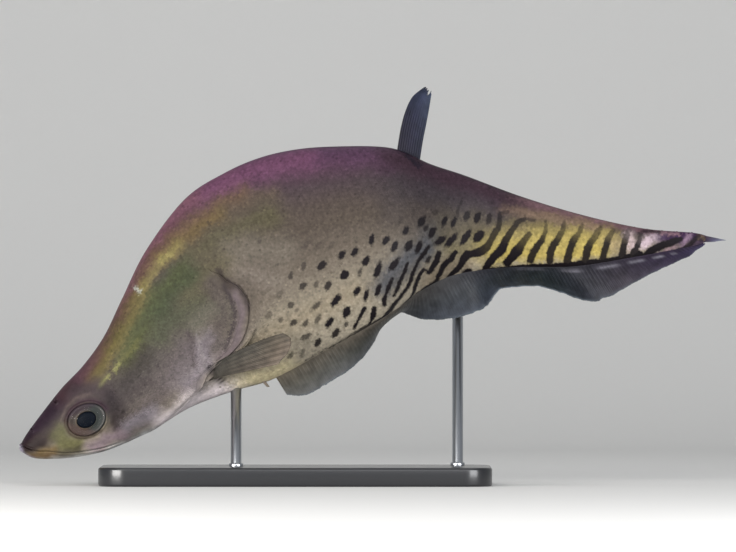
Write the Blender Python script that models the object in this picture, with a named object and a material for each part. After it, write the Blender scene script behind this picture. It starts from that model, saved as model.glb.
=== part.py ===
"""A royal clown knifefish, a still model of life size on a plain display stand.

Metres, +Z up. The head points to -X and down, and the left flank faces -Y.
The origin is on the floor, below the middle of the fish's length.
"""

import math

import bmesh
import bpy
import numpy as np

MM = 0.001
GAP = 0.3 * MM  # kept between pieces that touch

# Section lines from the snout to the end of the tail, as a boat's lines are drawn, in millimetres.
# Each has the x and z of its back end, the x and z of its belly end, how far it bows to the rear,
# half the body's width, and where that width lies, as a share of the depth.
LINES = (
    (-225.2, 26.4, -225.2, 21.4, 0.0, 8.0, 0.60),  # 0 snout
    (-221.2, 33.4, -216.6, 17.0, 0.0, 8.6, 0.62),
    (-210.4, 48.0, -201.6, 16.6, 0.0, 11.0, 0.62),  # 2 hind nostril
    (-199.0, 62.4, -187.6, 18.0, 0.0, 13.2, 0.60),
    (-185.2, 77.0, -172.4, 21.2, 0.0, 15.2, 0.60),  # 4 back of the eye
    (-172.2, 95.4, -158.8, 26.4, 4.0, 16.8, 0.60),
    (-160.6, 119.6, -150.6, 30.2, 14.0, 18.4, 0.60),
    (-145.4, 150.2, -144.4, 33.0, 32.0, 20.0, 0.60),  # 7 front edge of the gill cover
    (-120.6, 182.8, -139.6, 35.4, 51.0, 21.4, 0.60),  # 8 gill opening
    (-95.0, 199.6, -117.4, 49.2, 39.0, 22.0, 0.58),
    (-71.4, 209.6, -90.6, 59.4, 23.0, 22.0, 0.56),
    (-47.0, 214.8, -65.2, 67.0, 9.0, 21.6, 0.55),  # 11 first ray of the anal fin
    (-21.6, 216.4, -35.8, 82.4, 2.6, 20.4, 0.54),
    (3.8, 216.2, -6.4, 99.0, 0.0, 18.6, 0.52),
    (18.0, 213.4, 14.6, 112.4, 0.0, 17.0, 0.50),  # 14 back fin
    (35.8, 205.4, 29.4, 123.2, 0.0, 15.0, 0.48),
    (58.4, 198.0, 52.0, 133.6, 0.0, 12.6, 0.46),
    (94.4, 184.6, 88.0, 138.2, 0.0, 9.6, 0.44),
    (133.4, 172.8, 128.2, 138.6, 0.0, 6.8, 0.43),
    (172.0, 164.2, 168.2, 145.0, 0.0, 4.2, 0.42),
    (203.6, 161.4, 202.2, 151.8, 0.0, 2.2, 0.44),
    (212.6, 159.4, 211.8, 154.8, 0.0, 1.3, 0.50),  # 21 end of the flesh
)
TAIL_END = 21
NECK = 7.45  # where the head meets the trunk
TAIL_FROM = 13.56  # where the trunk meets the tail
BOW_LEVEL, BOW_SPREAD = 0.57, 0.30  # the gill arc's height on the section line, as shares of it
BACK_ROUND, BELLY_ROUND = 0.55, 0.62  # 0.5 is an ellipse, and more is a sharper keel

# How the fish bends to the side, seen from above.
CREASE_FROM, CREASE_TO, CREASE_SHIFT = -4 * MM, 62 * MM, 23 * MM  # the tail set over, behind the back fin
TAIL_CURL = 9 * MM  # and curling back towards its tip
HEAD_TURN = 5 * MM
HEAD_TURN_FROM = -145 * MM

# Mouth: the lower jaw is a band under the lip line, deepest at the chin, by section line in mm.
JAW_BAND = ((0.0, 5.0), (1.5, 5.2), (2.5, 3.3), (3.6, 2.5), (4.7, 1.8), (6.9, 1.3))
JAW_END = 6.9
LIP_PROUD = 0.7 * MM
LIP_HEIGHT = 2.6 * MM

# Gill cover, a leaf let into the head, with its front and rear edge at shares of the section lines.
COVER_FRONT = ((0.325, 7.75), (0.36, 7.42), (0.455, 7.12), (0.575, 7.06), (0.69, 7.2), (0.745, 7.36))
COVER_REAR = (
    (0.325, 7.98),
    (0.36, 8.08),
    (0.40, 8.2),
    (0.448, 8.22),
    (0.50, 8.12),
    (0.555, 7.99),
    (0.61, 7.91),
    (0.66, 7.78),
    (0.70, 7.62),
    (0.745, 7.54),
)
COVER_THICK = 1.8 * MM
COVER_PROUD = 1.1 * MM  # of the soft flap at the rear

EYE_AT = (-183.1 * MM, 43.1 * MM)
EYE_RADIUS = 11.5 * MM
EYE_BULGE = 2.5 * MM
EYE_DEEP = 6.0 * MM
EYE_SUNK = 0.4 * MM
EYE_OPENING = (11.3 * MM, -0.4 * MM, 5 * MM)  # radius, and from how low to how high it is open
ORBIT = (13.9 * MM, 1.7 * MM, 4 * MM)  # the soft rim round the eye: radius, height, and depth of its root

FRONT_NOSTRIL = (-217.6 * MM, 35.0 * MM)
NOSTRIL_TUBE = (0.8 * MM, -2 * MM, 2.4 * MM)  # radius, and its low and high end
REAR_NOSTRIL = (-203.6 * MM, 54.0 * MM)
NOSTRIL_RIM = (2.3 * MM, 0.8 * MM, 1.5 * MM)  # radius, height, and depth of its root
NOSTRIL_PIT = (1.1 * MM, -1.5 * MM, 2 * MM)

# Long anal fin: its first and last section line, its rays, their height and slope, and its wave.
FIN_FROM, FIN_TO = 11.1, 20.3
FIN_RAYS = 100
FIN_ROOT_HALF = 1.25 * MM
FIN_EDGE_HALF = 0.27 * MM
RAY_RIDGE = 0.22 * MM  # how far each ray stands out of a fin's membrane
FIN_HEIGHTS = (
    (11.1, 13.0),
    (11.5, 19.0),
    (12.6, 18.0),
    (13.4, 19.0),
    (14.2, 21.0),
    (15.0, 24.0),
    (16.0, 27.5),
    (18.0, 25.0),
    (18.8, 17.0),
    (19.5, 10.5),
    (20.3, 9.0),
)
FIN_SLOPES = ((11.1, 58.0), (13.0, 60.0), (18.0, 60.0), (19.2, 44.0), (20.3, 30.0))
FIN_FLARES = (
    (11.1, 0.0),
    (12.0, -4.0),
    (12.6, 30.0),
    (13.2, 72.0),
    (13.9, 84.0),
    (14.5, 76.0),
    (15.0, 34.0),
    (15.6, 0.0),
    (16.2, -30.0),
    (16.7, -70.0),
    (17.2, -70.0),
    (17.6, -52.0),
    (18.1, 4.0),
    (19.2, 24.0),
    (20.3, 0.0),
)
FIN_PARTS = (("anal_fin_front", 11.1, 13.9), ("anal_fin_middle", 13.9, 16.7), ("anal_fin_rear", 16.7, 20.3))
FIN_ROWS = 4

# How closely the solids' loops lie: between section lines, and how many points go down each.
BODY_STEP = 8.5 * MM
SNOUT_STEP, HEAD_STEP, JAW_STEP = 2.6 * MM, 8.0 * MM, 5.0 * MM
HEAD_POINTS = 17  # the trunk's too, which it meets
TAIL_POINTS = 14
JAW_POINTS = 5
SEARCH_LINES, SEARCH_SHARES = 900, 161  # the fine grid on which a place on the skin is looked up

# The small back fin's first and last ray, as x and z in mm from root to tip.
BACK_FIN_FIRST = ((14.6, 213.5), (17.4, 228.5), (21.2, 236.8), (26.0, 246.8), (33.4, 254.8))
BACK_FIN_LAST = ((29.0, 208.6), (30.6, 220.0), (32.6, 231.0), (36.4, 243.0), (37.6, 252.6))
BACK_FIN_SINK = 4 * MM
BACK_FIN_RAYS = 9
BACK_FIN_ROWS = 8
BACK_FIN_ROOT_HALF = 1.2 * MM

PECTORAL_ROOT = (-101.4 * MM, 70.8 * MM)
PECTORAL_LENGTH = 54 * MM
PECTORAL_WIDTH = 15.5 * MM
PECTORAL_RISE = math.radians(24)
PECTORAL_FLARE = math.radians(14)
PECTORAL_RAYS = 12
PECTORAL_ROWS = 7
PECTORAL_ROOT_HALF = 1.7 * MM
PECTORAL_CURL, PECTORAL_CUP = 2.5 * MM, 1.0 * MM  # its tip away from the flank, and its edges towards it

PELVIC_AT = (-71.5 * MM, 67.5 * MM)
PELVIC_WIDTH, PELVIC_DROP, PELVIC_TRAIL = 3.2 * MM, 5.0 * MM, 4.0 * MM
PELVIC_ASIDE, PELVIC_SPLAY = 1.6 * MM, 1.0 * MM
PELVIC_HALF = (0.6 * MM, 0.3 * MM)
PELVIC_POINTS = 4

CAUDAL_RAYS = 11
CAUDAL_ROWS = 5
CAUDAL_ROOT_HALF = 0.62 * MM
CAUDAL_LENGTHS = ((0.0, 12.8), (0.17, 11.4), (0.33, 9.6), (0.5, 8.2), (0.67, 7.4), (1.0, 6.5))
CAUDAL_SPREAD = (math.radians(-2), math.radians(-46))

BASE_SIZE = (250 * MM, 110 * MM, 12 * MM)
BASE_CENTRE = (-50 * MM, 0.0)
BASE_CORNER = 18 * MM
BASE_BEVEL = 2 * MM
ROD_RADIUS = 3.5 * MM
FRONT_ROD_X = -88 * MM
REAR_ROD_LINE = 16.1
REAR_ROD_SIDE = 7.0 * MM
FRONT_ROD_TOP, REAR_ROD_TOP = 75 * MM, 165 * MM  # inside the body, which cuts them off at its skin

SKIN = (0.42, 0.38, 0.31)
MAUVE = (0.34, 0.24, 0.26)
DARK_FIN = (0.12, 0.13, 0.13)
PALE_JAW = (0.62, 0.55, 0.50)


def clear_scene():
    for old in list(bpy.data.objects):
        bpy.data.objects.remove(old)


def finish(name, colour, roughness, metallic=0.0):
    """A Principled BSDF with the sub-part's own colour."""
    material = bpy.data.materials.new(name)
    material.use_nodes = True
    shader = material.node_tree.nodes["Principled BSDF"]
    shader.inputs["Base Color"].default_value = (*colour, 1.0)
    shader.inputs["Roughness"].default_value = roughness
    shader.inputs["Metallic"].default_value = metallic
    return material


def smooth_step(share):
    share = np.clip(share, 0.0, 1.0)
    return share * share * (3.0 - 2.0 * share)


def through(points, at):
    """A smooth curve through (place, value) pairs, with no swing past them, read at the places given."""
    places = np.array([p[0] for p in points])
    values = np.array([p[1] for p in points])
    secants = np.diff(values) / np.diff(places)
    before, after = secants[:-1], secants[1:]
    turns = before * after <= 0
    inner = np.where(turns, 0.0, 2 * before * after / np.where(turns, 1.0, before + after))
    slopes = np.concatenate([secants[:1], inner, secants[-1:]])
    at = np.clip(at, places[0], places[-1])
    i = np.clip(np.searchsorted(places, at, side="right") - 1, 0, len(places) - 2)
    wide = places[i + 1] - places[i]
    u = (at - places[i]) / wide
    rise = values[i] * (1 + 2 * u) * (1 - u) ** 2 + values[i + 1] * u * u * (3 - 2 * u)
    return rise + wide * (slopes[i] * u * (1 - u) ** 2 - slopes[i + 1] * u * u * (1 - u))


def line_values(s):
    """The section line at s, which runs from 0 at the snout, by a Catmull-Rom curve through LINES."""
    table = np.array(LINES)
    table[:, :6] *= MM
    s = np.clip(np.asarray(s, float), 0.0, TAIL_END)
    i = np.minimum(s.astype(int), TAIL_END - 1)
    u = (s - i)[..., None]
    before = table[np.maximum(i - 1, 0)]
    start, end = table[i], table[i + 1]
    after = table[np.minimum(i + 2, TAIL_END)]
    return 0.5 * (
        2 * start
        + (end - before) * u
        + (2 * before - 5 * start + 4 * end - after) * u**2
        + (3 * start - before - 3 * end + after) * u**3
    )


def sideways(x):
    """How far the fish's middle plane lies to +Y at this x."""
    over = CREASE_SHIFT * smooth_step((x - CREASE_FROM) / (CREASE_TO - CREASE_FROM))
    tail = np.clip((x - CREASE_TO) / (226 * MM - CREASE_TO), 0.0, 1.2)
    head = np.clip((HEAD_TURN_FROM - x) / (HEAD_TURN_FROM + 226 * MM), 0.0, 1.2)
    return over - TAIL_CURL * tail**2 - HEAD_TURN * head**2


def across(x):
    """The unit vectors at right angles to the middle plane, pointing to the fish's right."""
    small = 0.01 * MM
    slope = (sideways(x + small) - sideways(x - small)) / (2 * small)
    long = np.sqrt(1 + slope**2)
    return np.stack([-slope / long, 1 / long, np.zeros_like(x)], axis=-1)


def on_middle(s, t, outward=0.0):
    """The point of the middle plane at section line s and share t of the way from back to belly."""
    s, t = np.broadcast_arrays(np.asarray(s, float), np.asarray(t, float))
    line = line_values(s)
    back, belly, bow = line[..., 0:2], line[..., 2:4], line[..., 4]
    down = belly - back
    down = down / np.maximum(np.linalg.norm(down, axis=-1, keepdims=True), 1e-9)
    back, belly = back - down * outward, belly + down * outward
    flat = back + (belly - back) * t[..., None]
    arc = np.exp(-(((t - BOW_LEVEL) / BOW_SPREAD) ** 2)) * (1 - (2 * t - 1) ** 8)
    x = flat[..., 0] + bow * arc
    return np.stack([x, sideways(x), flat[..., 1]], axis=-1)


def keel_half(s):
    """Half the width of the belly's edge, where the anal fin grows from it."""
    starts = smooth_step((s - (FIN_FROM - 0.5)) / 0.5)
    return FIN_ROOT_HALF * starts * (1 - 0.5 * smooth_step((s - 17.0) / 4.0))


def half_width(s, t):
    """Half the body's thickness, without the gill covers and lips."""
    s, t = np.broadcast_arrays(np.asarray(s, float), np.asarray(t, float))
    line = line_values(s)
    wide, widest = line[..., 5], line[..., 6]
    nose = np.sqrt(1 - (1 - np.clip(0.03 + s / 1.2, 0.0, 1.0)) ** 2)
    above = np.clip(1 - t / widest, 0.0, 1.0)
    below = np.clip((t - widest) / (1 - widest), 0.0, 1.0)
    profile = np.where(t < widest, (1 - above**2) ** BACK_ROUND, (1 - below**2) ** BELLY_ROUND)
    keel = keel_half(s) * smooth_step((t - 0.6) / 0.4)
    return np.maximum(wide * nose * profile, keel)


def depth(s):
    line = line_values(s)
    return np.linalg.norm(line[..., 2:4] - line[..., 0:2], axis=-1)


def jaw_line(s):
    """The share of the section line where the mouth is."""
    return 1 - np.minimum(through(JAW_BAND, s) * MM / depth(s), 0.62)


def lip(s, t):
    """The ridge along the upper lip."""
    away = np.abs(jaw_line(s) - t) * depth(s)
    return LIP_PROUD * np.clip(1 - away / LIP_HEIGHT, 0.0, 1.0) * (s < JAW_END)


def lines_between(first, last, step):
    """Values of s from first to last, about a step apart along the longer of back and belly."""
    fine = np.linspace(first, last, 400)
    line = line_values(fine)
    back = np.linalg.norm(np.diff(line[:, 0:2], axis=0), axis=1)
    belly = np.linalg.norm(np.diff(line[:, 2:4], axis=0), axis=1)
    run = np.concatenate([[0.0], np.cumsum(np.maximum(back, belly))])
    count = max(2, int(round(run[-1] / step)))
    return np.interp(np.linspace(0, run[-1], count + 1), run, fine)


def slab(name, left, right, material):
    """A closed solid between two faces, given as grids of points, split into triangles alike."""
    mesh = bpy.data.meshes.new(name)
    bm = bmesh.new()
    columns, rows = left.shape[:2]
    grids = [[[bm.verts.new(p) for p in column] for column in face] for face in (left, right)]

    def square(a, b, c, d):
        bm.faces.new((a, b, c))
        bm.faces.new((a, c, d))

    for face in grids:
        for i in range(columns - 1):
            for j in range(rows - 1):
                square(face[i][j], face[i + 1][j], face[i + 1][j + 1], face[i][j + 1])
    one, other = grids
    for i in range(columns - 1):
        for j in (0, rows - 1):
            square(one[i][j], one[i + 1][j], other[i + 1][j], other[i][j])
    for j in range(rows - 1):
        for i in (0, columns - 1):
            square(one[i][j], one[i][j + 1], other[i][j + 1], other[i][j])
    return closed_object(name, bm, mesh, material)


def closed_object(name, bm, mesh, material):
    bmesh.ops.remove_doubles(bm, verts=bm.verts, dist=0.004 * MM)
    bmesh.ops.dissolve_degenerate(bm, edges=bm.edges, dist=0.001 * MM)
    bmesh.ops.recalc_face_normals(bm, faces=bm.faces)
    if bm.calc_volume(signed=True) < 0:
        bmesh.ops.reverse_faces(bm, faces=bm.faces)
    bm.to_mesh(mesh)
    bm.free()
    mesh.materials.append(material)
    mesh.shade_smooth()
    made = bpy.data.objects.new(name, mesh)
    bpy.context.scene.collection.objects.link(made)
    return made


def applied(made):
    """Applies the object's modifiers, and keeps its largest closed surface."""
    graph = bpy.context.evaluated_depsgraph_get()
    mesh = bpy.data.meshes.new_from_object(made.evaluated_get(graph))
    made.modifiers.clear()
    made.data = mesh
    keep_largest(mesh)
    return made


def join(made, others):
    """One union with a collection of closed objects."""
    group = bpy.data.collections.new("added")
    for other in others:
        group.objects.link(other)
    modifier = made.modifiers.new("union", "BOOLEAN")
    modifier.operation = "UNION"
    modifier.operand_type = "COLLECTION"
    modifier.collection = group
    applied(made)
    for other in others:
        bpy.data.objects.remove(other)
    bpy.data.collections.remove(group)
    return made


def cut(made, others):
    for other in others:
        modifier = made.modifiers.new("difference", "BOOLEAN")
        modifier.operation = "DIFFERENCE"
        modifier.object = other
    applied(made)
    for other in others:
        bpy.data.objects.remove(other)
    return made


def keep_largest(mesh):
    """Drops every loose scrap, walking from face to face across their edges."""
    bm = bmesh.new()
    bm.from_mesh(mesh)
    left = set(bm.faces)
    shells = []
    while left:
        shell = [left.pop()]
        for face in shell:
            near = {other for edge in face.edges for other in edge.link_faces} & left
            left -= near
            shell.extend(near)
        shells.append(shell)
    shells.sort(key=len)
    for shell in shells[:-1]:
        bmesh.ops.delete(bm, geom=shell, context="FACES")
    bm.to_mesh(mesh)
    bm.free()


def rows_down(s, count):
    """Shares of the section line down to the lip or the belly, closer together at both ends."""
    end = np.where(s < JAW_END, jaw_line(s) - 0.5 * GAP / depth(s), 1.0)
    share = np.linspace(0, 1, count)
    share = np.where(share < 0.25, 0.25 * (share / 0.25) ** 1.5, share)
    low = share > 0.8
    share[low] = 1 - 0.2 * ((1 - share[low]) / 0.2) ** 1.3
    return np.outer(end, share)


def flank(s, rows, extra, outward=0.0):
    """Left and right grids of points over the body; extra is added to half the width."""
    s = np.asarray(s)[:, None]
    middle = on_middle(s, rows, outward)
    out = across(middle[..., 0]) * (half_width(s, rows) + extra)[..., None]
    return middle - out, middle + out


def envelope(first, last, grow):
    """The body's own shape, larger all over, for cutting what grows from it."""
    s = lines_between(first, last, BODY_STEP)
    left, right = flank(s, rows_down(s, 18), grow, grow)
    return slab("envelope", left, right, bpy.data.materials[0])


def framed(facing):
    """Three unit vectors, the middle one pointing as given."""
    first = np.cross(facing, [0.0, 0.0, 1.0])
    first = first / np.linalg.norm(first)
    return np.array([first, facing, np.cross(first, facing)])


def ball(name, centre, radius, front, behind, facing, material, segments=22, rings=10):
    """A round lens of this radius, its two sides bulging by the depths given."""
    mesh = bpy.data.meshes.new(name)
    bm = bmesh.new()
    bmesh.ops.create_uvsphere(bm, u_segments=segments, v_segments=rings, radius=1.0)
    frame = framed(facing)
    for vert in bm.verts:
        x, y, z = vert.co
        bulge = front if z > 0 else behind
        vert.co = centre + np.array([x * radius, z * bulge, y * radius]) @ frame
    bmesh.ops.triangulate(bm, faces=bm.faces)
    return closed_object(name, bm, mesh, material)


def tube(centre, radius, low, high, facing, material, sides=12):
    """A short round bar, from low to high along the way it faces."""
    bm = bmesh.new()
    bmesh.ops.create_cone(bm, cap_ends=True, segments=sides, radius1=radius, radius2=radius, depth=high - low)
    frame = framed(facing)
    for vert in bm.verts:
        x, y, z = vert.co
        vert.co = centre + np.array([x, z + (high + low) / 2, y]) @ frame
    return closed_object("bar", bm, bpy.data.meshes.new("bar"), material)


def skin_point(s, t, side):
    middle = on_middle(s, t)
    return middle + side * across(middle[..., 0]) * half_width(s, t)[..., None]


def surface_at(x, z, side):
    """The place on the flank at x, z seen from the side, and the way the skin faces there."""
    grid_s = np.linspace(0, TAIL_END, SEARCH_LINES)[:, None]
    grid_t = np.linspace(0, 1, SEARCH_SHARES)[None, :]
    points = skin_point(grid_s, grid_t, side)
    near = np.argmin((points[..., 0] - x) ** 2 + (points[..., 2] - z) ** 2)
    s = grid_s[near // SEARCH_SHARES, 0]
    t = grid_t[0, near % SEARCH_SHARES]
    along = skin_point(s + 0.1, t, side) - skin_point(s - 0.1, t, side)
    down = skin_point(s, t + 0.02, side) - skin_point(s, t - 0.02, side)
    facing = np.cross(along, down)
    facing *= side * np.sign(facing[1]) / np.linalg.norm(facing)
    return skin_point(s, t, side), facing


def eyeball(name, side, grow, material):
    """The eye is a lens set into the head, and its front stands just out of the skin."""
    place, facing = surface_at(*EYE_AT, side)
    centre = place - facing * EYE_SUNK
    return ball(name, centre, EYE_RADIUS + grow, EYE_BULGE + grow, EYE_DEEP + grow, facing, material)


def build_head(material):
    front = lines_between(0.0, 1.0, SNOUT_STEP)
    s = np.concatenate([front, lines_between(1.0, NECK - 0.01, HEAD_STEP)[1:]])
    s = np.sort(np.append(s, JAW_END))
    rows = rows_down(s, HEAD_POINTS)
    head = slab("head", *flank(s, rows, lip(s[:, None], rows)), material)
    added, taken = [], []
    for side in (-1, 1):
        place, facing = surface_at(*EYE_AT, side)
        added.append(ball("orbit", place, *ORBIT, facing, material))
        taken.append(eyeball("socket", side, GAP, material))
        taken.append(tube(place, *EYE_OPENING, facing, material, 22))
        place, facing = surface_at(*REAR_NOSTRIL, side)
        added.append(ball("rim", place, *NOSTRIL_RIM, facing, material, 12, 6))
        taken.append(tube(place, *NOSTRIL_PIT, facing, material))
        place, facing = surface_at(*FRONT_NOSTRIL, side)
        added.append(tube(place, *NOSTRIL_TUBE, facing, material))
        taken.append(build_cover("recess", side, material, GAP))
    join(head, added)
    return cut(head, taken)


def build_jaw(material):
    s = lines_between(0.0, JAW_END - 0.1, JAW_STEP)
    start = jaw_line(s) + 0.5 * GAP / depth(s)
    rows = start[:, None] + np.outer(1 - start, np.linspace(0, 1, JAW_POINTS))
    return slab("lower_jaw", *flank(s, rows, 0.0), material)


def build_cover(name, side, material, grow=0.0):
    """A leaf let into the skin, flush at its front edge, with its rear edge standing out as a flap."""
    edge = grow / (12 * MM)
    t = np.linspace(COVER_REAR[0][0], COVER_REAR[-1][0], 13)
    t[0] -= 0.2 * edge
    t[-1] += 0.2 * edge
    front = through(COVER_FRONT, t) - edge
    rear = through(COVER_REAR, t) + edge
    share = np.linspace(0, 1, 7)
    s = front[:, None] + np.outer(rear - front, share)
    rows = np.tile(t[:, None], (1, len(share)))
    middle = on_middle(s, rows)
    out = across(middle[..., 0]) * side
    skin = half_width(s, rows)
    inner = middle + out * (skin - COVER_THICK - grow)[..., None]
    outer = middle + out * (skin + COVER_PROUD * share**1.5 + 8 * grow)[..., None]
    return slab(name, inner, outer, material)


def build_flesh(name, first, last, count, material):
    s = lines_between(first, last, BODY_STEP)
    rows = rows_down(s, count)
    flesh = slab(name, *flank(s, rows, 0.0), material)
    if first < COVER_REAR[3][1]:
        cut(flesh, [build_cover("recess", side, material, GAP) for side in (-1, 1)])
    return flesh


def ray_columns(rays):
    """Shares from 0 to 1 with a column on each ray and one in each valley, and 1 on the rays."""
    share = np.linspace(0, 1, 2 * rays + 1)
    return share, np.arange(2 * rays + 1) % 2


def keel_edge(s):
    """The belly's edge, straight between the solids' own section loops."""
    loops = np.concatenate([lines_between(*part, BODY_STEP) for part in FLESH_PARTS])
    points = on_middle(loops, 1.0)
    return np.stack([np.interp(s, loops, points[:, k]) for k in range(3)], axis=-1)


def fin_sheet(s):
    """The anal fin's middle surface: columns along the base, rows from the root to the edge."""
    root = keel_edge(s)
    height = through(FIN_HEIGHTS, s) * MM
    slope = np.radians(through(FIN_SLOPES, s))
    flare = np.radians(through(FIN_FLARES, s))
    out = across(root[:, 0])
    along = np.stack([out[:, 1], -out[:, 0], np.zeros_like(s)], axis=-1)
    ray = along * np.cos(slope)[:, None] + np.array([0, 0, -1.0]) * np.sin(slope)[:, None]
    point = root + ray * GAP / np.sin(slope)[:, None]
    rows = [point]
    for row in range(1, FIN_ROWS + 1):
        angle = (flare * min(1.0, 0.5 + 0.6 * row / FIN_ROWS))[:, None]
        point = point + (ray * np.cos(angle) + out * np.sin(angle)) * height[:, None] / FIN_ROWS
        rows.append(point)
    return np.stack(rows, axis=1), out


def sheet_normals(sheet, out):
    along = np.gradient(sheet, axis=0)
    up = np.gradient(sheet, axis=1)
    normal = np.cross(up, along)
    normal /= np.linalg.norm(normal, axis=-1, keepdims=True)
    normal *= np.sign((normal * out[:, None, :]).sum(-1, keepdims=True) + 1e-9)
    normal[:, 0] = out
    return normal


def build_anal_fin(name, first, last, material):
    """One length of the long fin, with each ray a ridge on both of its faces."""
    whole = len(lines_between(FIN_FROM, FIN_TO, 0.5 * GAP))
    fine = lines_between(first, last, 0.5 * GAP)[1:-1]
    share, ridge = ray_columns(round(FIN_RAYS * len(fine) / whole))
    s = np.interp(share, np.linspace(0, 1, len(fine)), fine)
    sheet, out = fin_sheet(s)
    normal = sheet_normals(sheet, out)
    r = np.linspace(0, 1, FIN_ROWS + 1)
    half = keel_half(s)[:, None] * (1 - r) ** 1.5 + FIN_EDGE_HALF
    half = half + np.outer(ridge, RAY_RIDGE * np.array([0.0] + [1.0] * (FIN_ROWS - 1) + [0.3]))
    offset = normal * half[..., None]
    return slab(name, sheet - offset, sheet + offset, material)


def build_back_fin(material):
    """A narrow feather of a fin that leans back, on the ridge behind the hump."""
    share, ridge = ray_columns(BACK_FIN_RAYS)
    level = np.linspace(0, 1, BACK_FIN_ROWS)
    knots = np.linspace(0, 1, len(BACK_FIN_FIRST))
    first, last = (
        np.stack([through([(k, p[i]) for k, p in zip(knots, ray)], level) for i in range(2)], axis=1) * MM
        for ray in (BACK_FIN_FIRST, BACK_FIN_LAST)
    )
    first[0, 1] -= BACK_FIN_SINK
    last[0, 1] -= BACK_FIN_SINK
    flat = first[None] + (last - first)[None] * share[:, None, None]
    sheet = np.stack([flat[..., 0], sideways(flat[..., 0]), flat[..., 1]], axis=-1)
    half = BACK_FIN_ROOT_HALF * (1 - level) ** 1.2 + FIN_EDGE_HALF
    half = half + np.outer(ridge, RAY_RIDGE * (1 - 0.6 * level))
    offset = across(sheet[..., 0]) * half[..., None]
    fin = slab("dorsal_fin", sheet - offset, sheet + offset, material)
    return cut(fin, [envelope(12.0, 16.0, GAP)])


def build_pectoral(name, side, material):
    """A long rounded paddle behind the gill opening, laid back along the flank."""
    root = surface_at(*PECTORAL_ROOT, side)[0]
    out = across(np.array(root[0])) * side
    back = np.array([math.cos(PECTORAL_RISE), 0.0, math.sin(PECTORAL_RISE)])
    down = np.array([math.sin(PECTORAL_RISE), 0.0, -math.cos(PECTORAL_RISE)])
    axis = back * math.cos(PECTORAL_FLARE) + out * math.sin(PECTORAL_FLARE)
    lift = np.cross(axis, down)
    lift *= side * np.sign(lift[1])
    share, ridge = ray_columns(PECTORAL_RAYS)
    wide = (2 * share - 1)[:, None]
    along = np.linspace(-0.08, 1.0, PECTORAL_ROWS)[None, :]
    swell = np.maximum(0.0, along)
    spread = PECTORAL_WIDTH * 0.5 * (0.45 + 0.85 * swell - 0.45 * swell**2)
    reach = along * PECTORAL_LENGTH * (1 - 0.16 * wide**2 * swell - 0.10 * swell * wide)
    curl = PECTORAL_CURL * swell**2 - PECTORAL_CUP * wide**2 * swell
    sheet = root + axis * reach[..., None] + down * (spread * wide)[..., None] + lift * curl[..., None]
    half = PECTORAL_ROOT_HALF * (1 - swell) ** 2 * (1 - 0.5 * wide**2) + FIN_EDGE_HALF
    half = half + ridge[:, None] * RAY_RIDGE * (1 - 0.6 * swell) * (swell > 0)
    offset = lift * half[..., None]
    fin = slab(name, sheet - offset, sheet + offset, material)
    return cut(fin, [envelope(6.5, 14.0, GAP), build_cover("recess", side, material, GAP)])


def build_caudal(material):
    """The small tail fin, a short fan off the end of the flesh."""
    share, ridge = ray_columns(CAUDAL_RAYS)
    back, belly = on_middle(TAIL_END, 0.04), on_middle(TAIL_END, 0.96)
    angle = CAUDAL_SPREAD[0] + (CAUDAL_SPREAD[1] - CAUDAL_SPREAD[0]) * share
    level = np.linspace(0, 1, CAUDAL_ROWS)
    reach = np.outer(through(CAUDAL_LENGTHS, share) * MM, level)
    start = back + np.outer(share, belly - back) + np.array([GAP, 0, 0])
    x = start[:, :1] + reach * np.cos(angle)[:, None]
    z = start[:, 2:] + reach * np.sin(angle)[:, None]
    sheet = np.stack([x, sideways(x), z], axis=-1)
    half = CAUDAL_ROOT_HALF * (1 - level) + FIN_EDGE_HALF + np.outer(ridge, RAY_RIDGE * 0.6 * (level > 0))
    offset = across(sheet[..., 0]) * half[..., None]
    return slab("caudal_fin", sheet - offset, sheet + offset, material)


def build_pelvic(name, side, material):
    """The pelvic fin is a rudiment, a small flap beside the belly's keel."""
    x, z = PELVIC_AT
    reach = np.linspace(0, 1, PELVIC_POINTS)[None, :]
    wide = (np.linspace(0, 1, PELVIC_POINTS) - 0.5)[:, None]
    back = x + wide * PELVIC_WIDTH * (1 - 0.4 * reach) + PELVIC_TRAIL * reach
    aside = sideways(np.array(x)) + side * (PELVIC_ASIDE + PELVIC_SPLAY * reach)
    sheet = np.stack(np.broadcast_arrays(back, aside, z - PELVIC_DROP * reach), axis=-1)
    half = np.linspace(*PELVIC_HALF, PELVIC_POINTS)
    offset = np.array([0.0, 1.0, 0.0]) * half[None, :, None]
    fin = slab(name, sheet - offset, sheet + offset, material)
    return cut(fin, [envelope(9.0, 12.5, GAP)])


def build_base(material):
    """A flat block with round corners."""
    long, wide, tall = BASE_SIZE
    bm = bmesh.new()
    bmesh.ops.create_cube(bm, size=1.0)
    for vert in bm.verts:
        vert.co = (
            BASE_CENTRE[0] + vert.co.x * long,
            BASE_CENTRE[1] + vert.co.y * wide,
            (vert.co.z + 0.5) * tall,
        )
    upright = [e for e in bm.edges if abs(e.verts[0].co.z - e.verts[1].co.z) > 0.5 * tall]
    bmesh.ops.bevel(bm, geom=upright, offset=BASE_CORNER, segments=6, profile=0.5, affect="EDGES")
    rim = [e for e in bm.edges if all(v.co.z > 0.9 * tall for v in e.verts)]
    bmesh.ops.bevel(bm, geom=rim, offset=BASE_BEVEL, segments=2, profile=0.5, affect="EDGES")
    bmesh.ops.triangulate(bm, faces=bm.faces)
    return closed_object("stand_base", bm, bpy.data.meshes.new("stand_base"), material)


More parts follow.
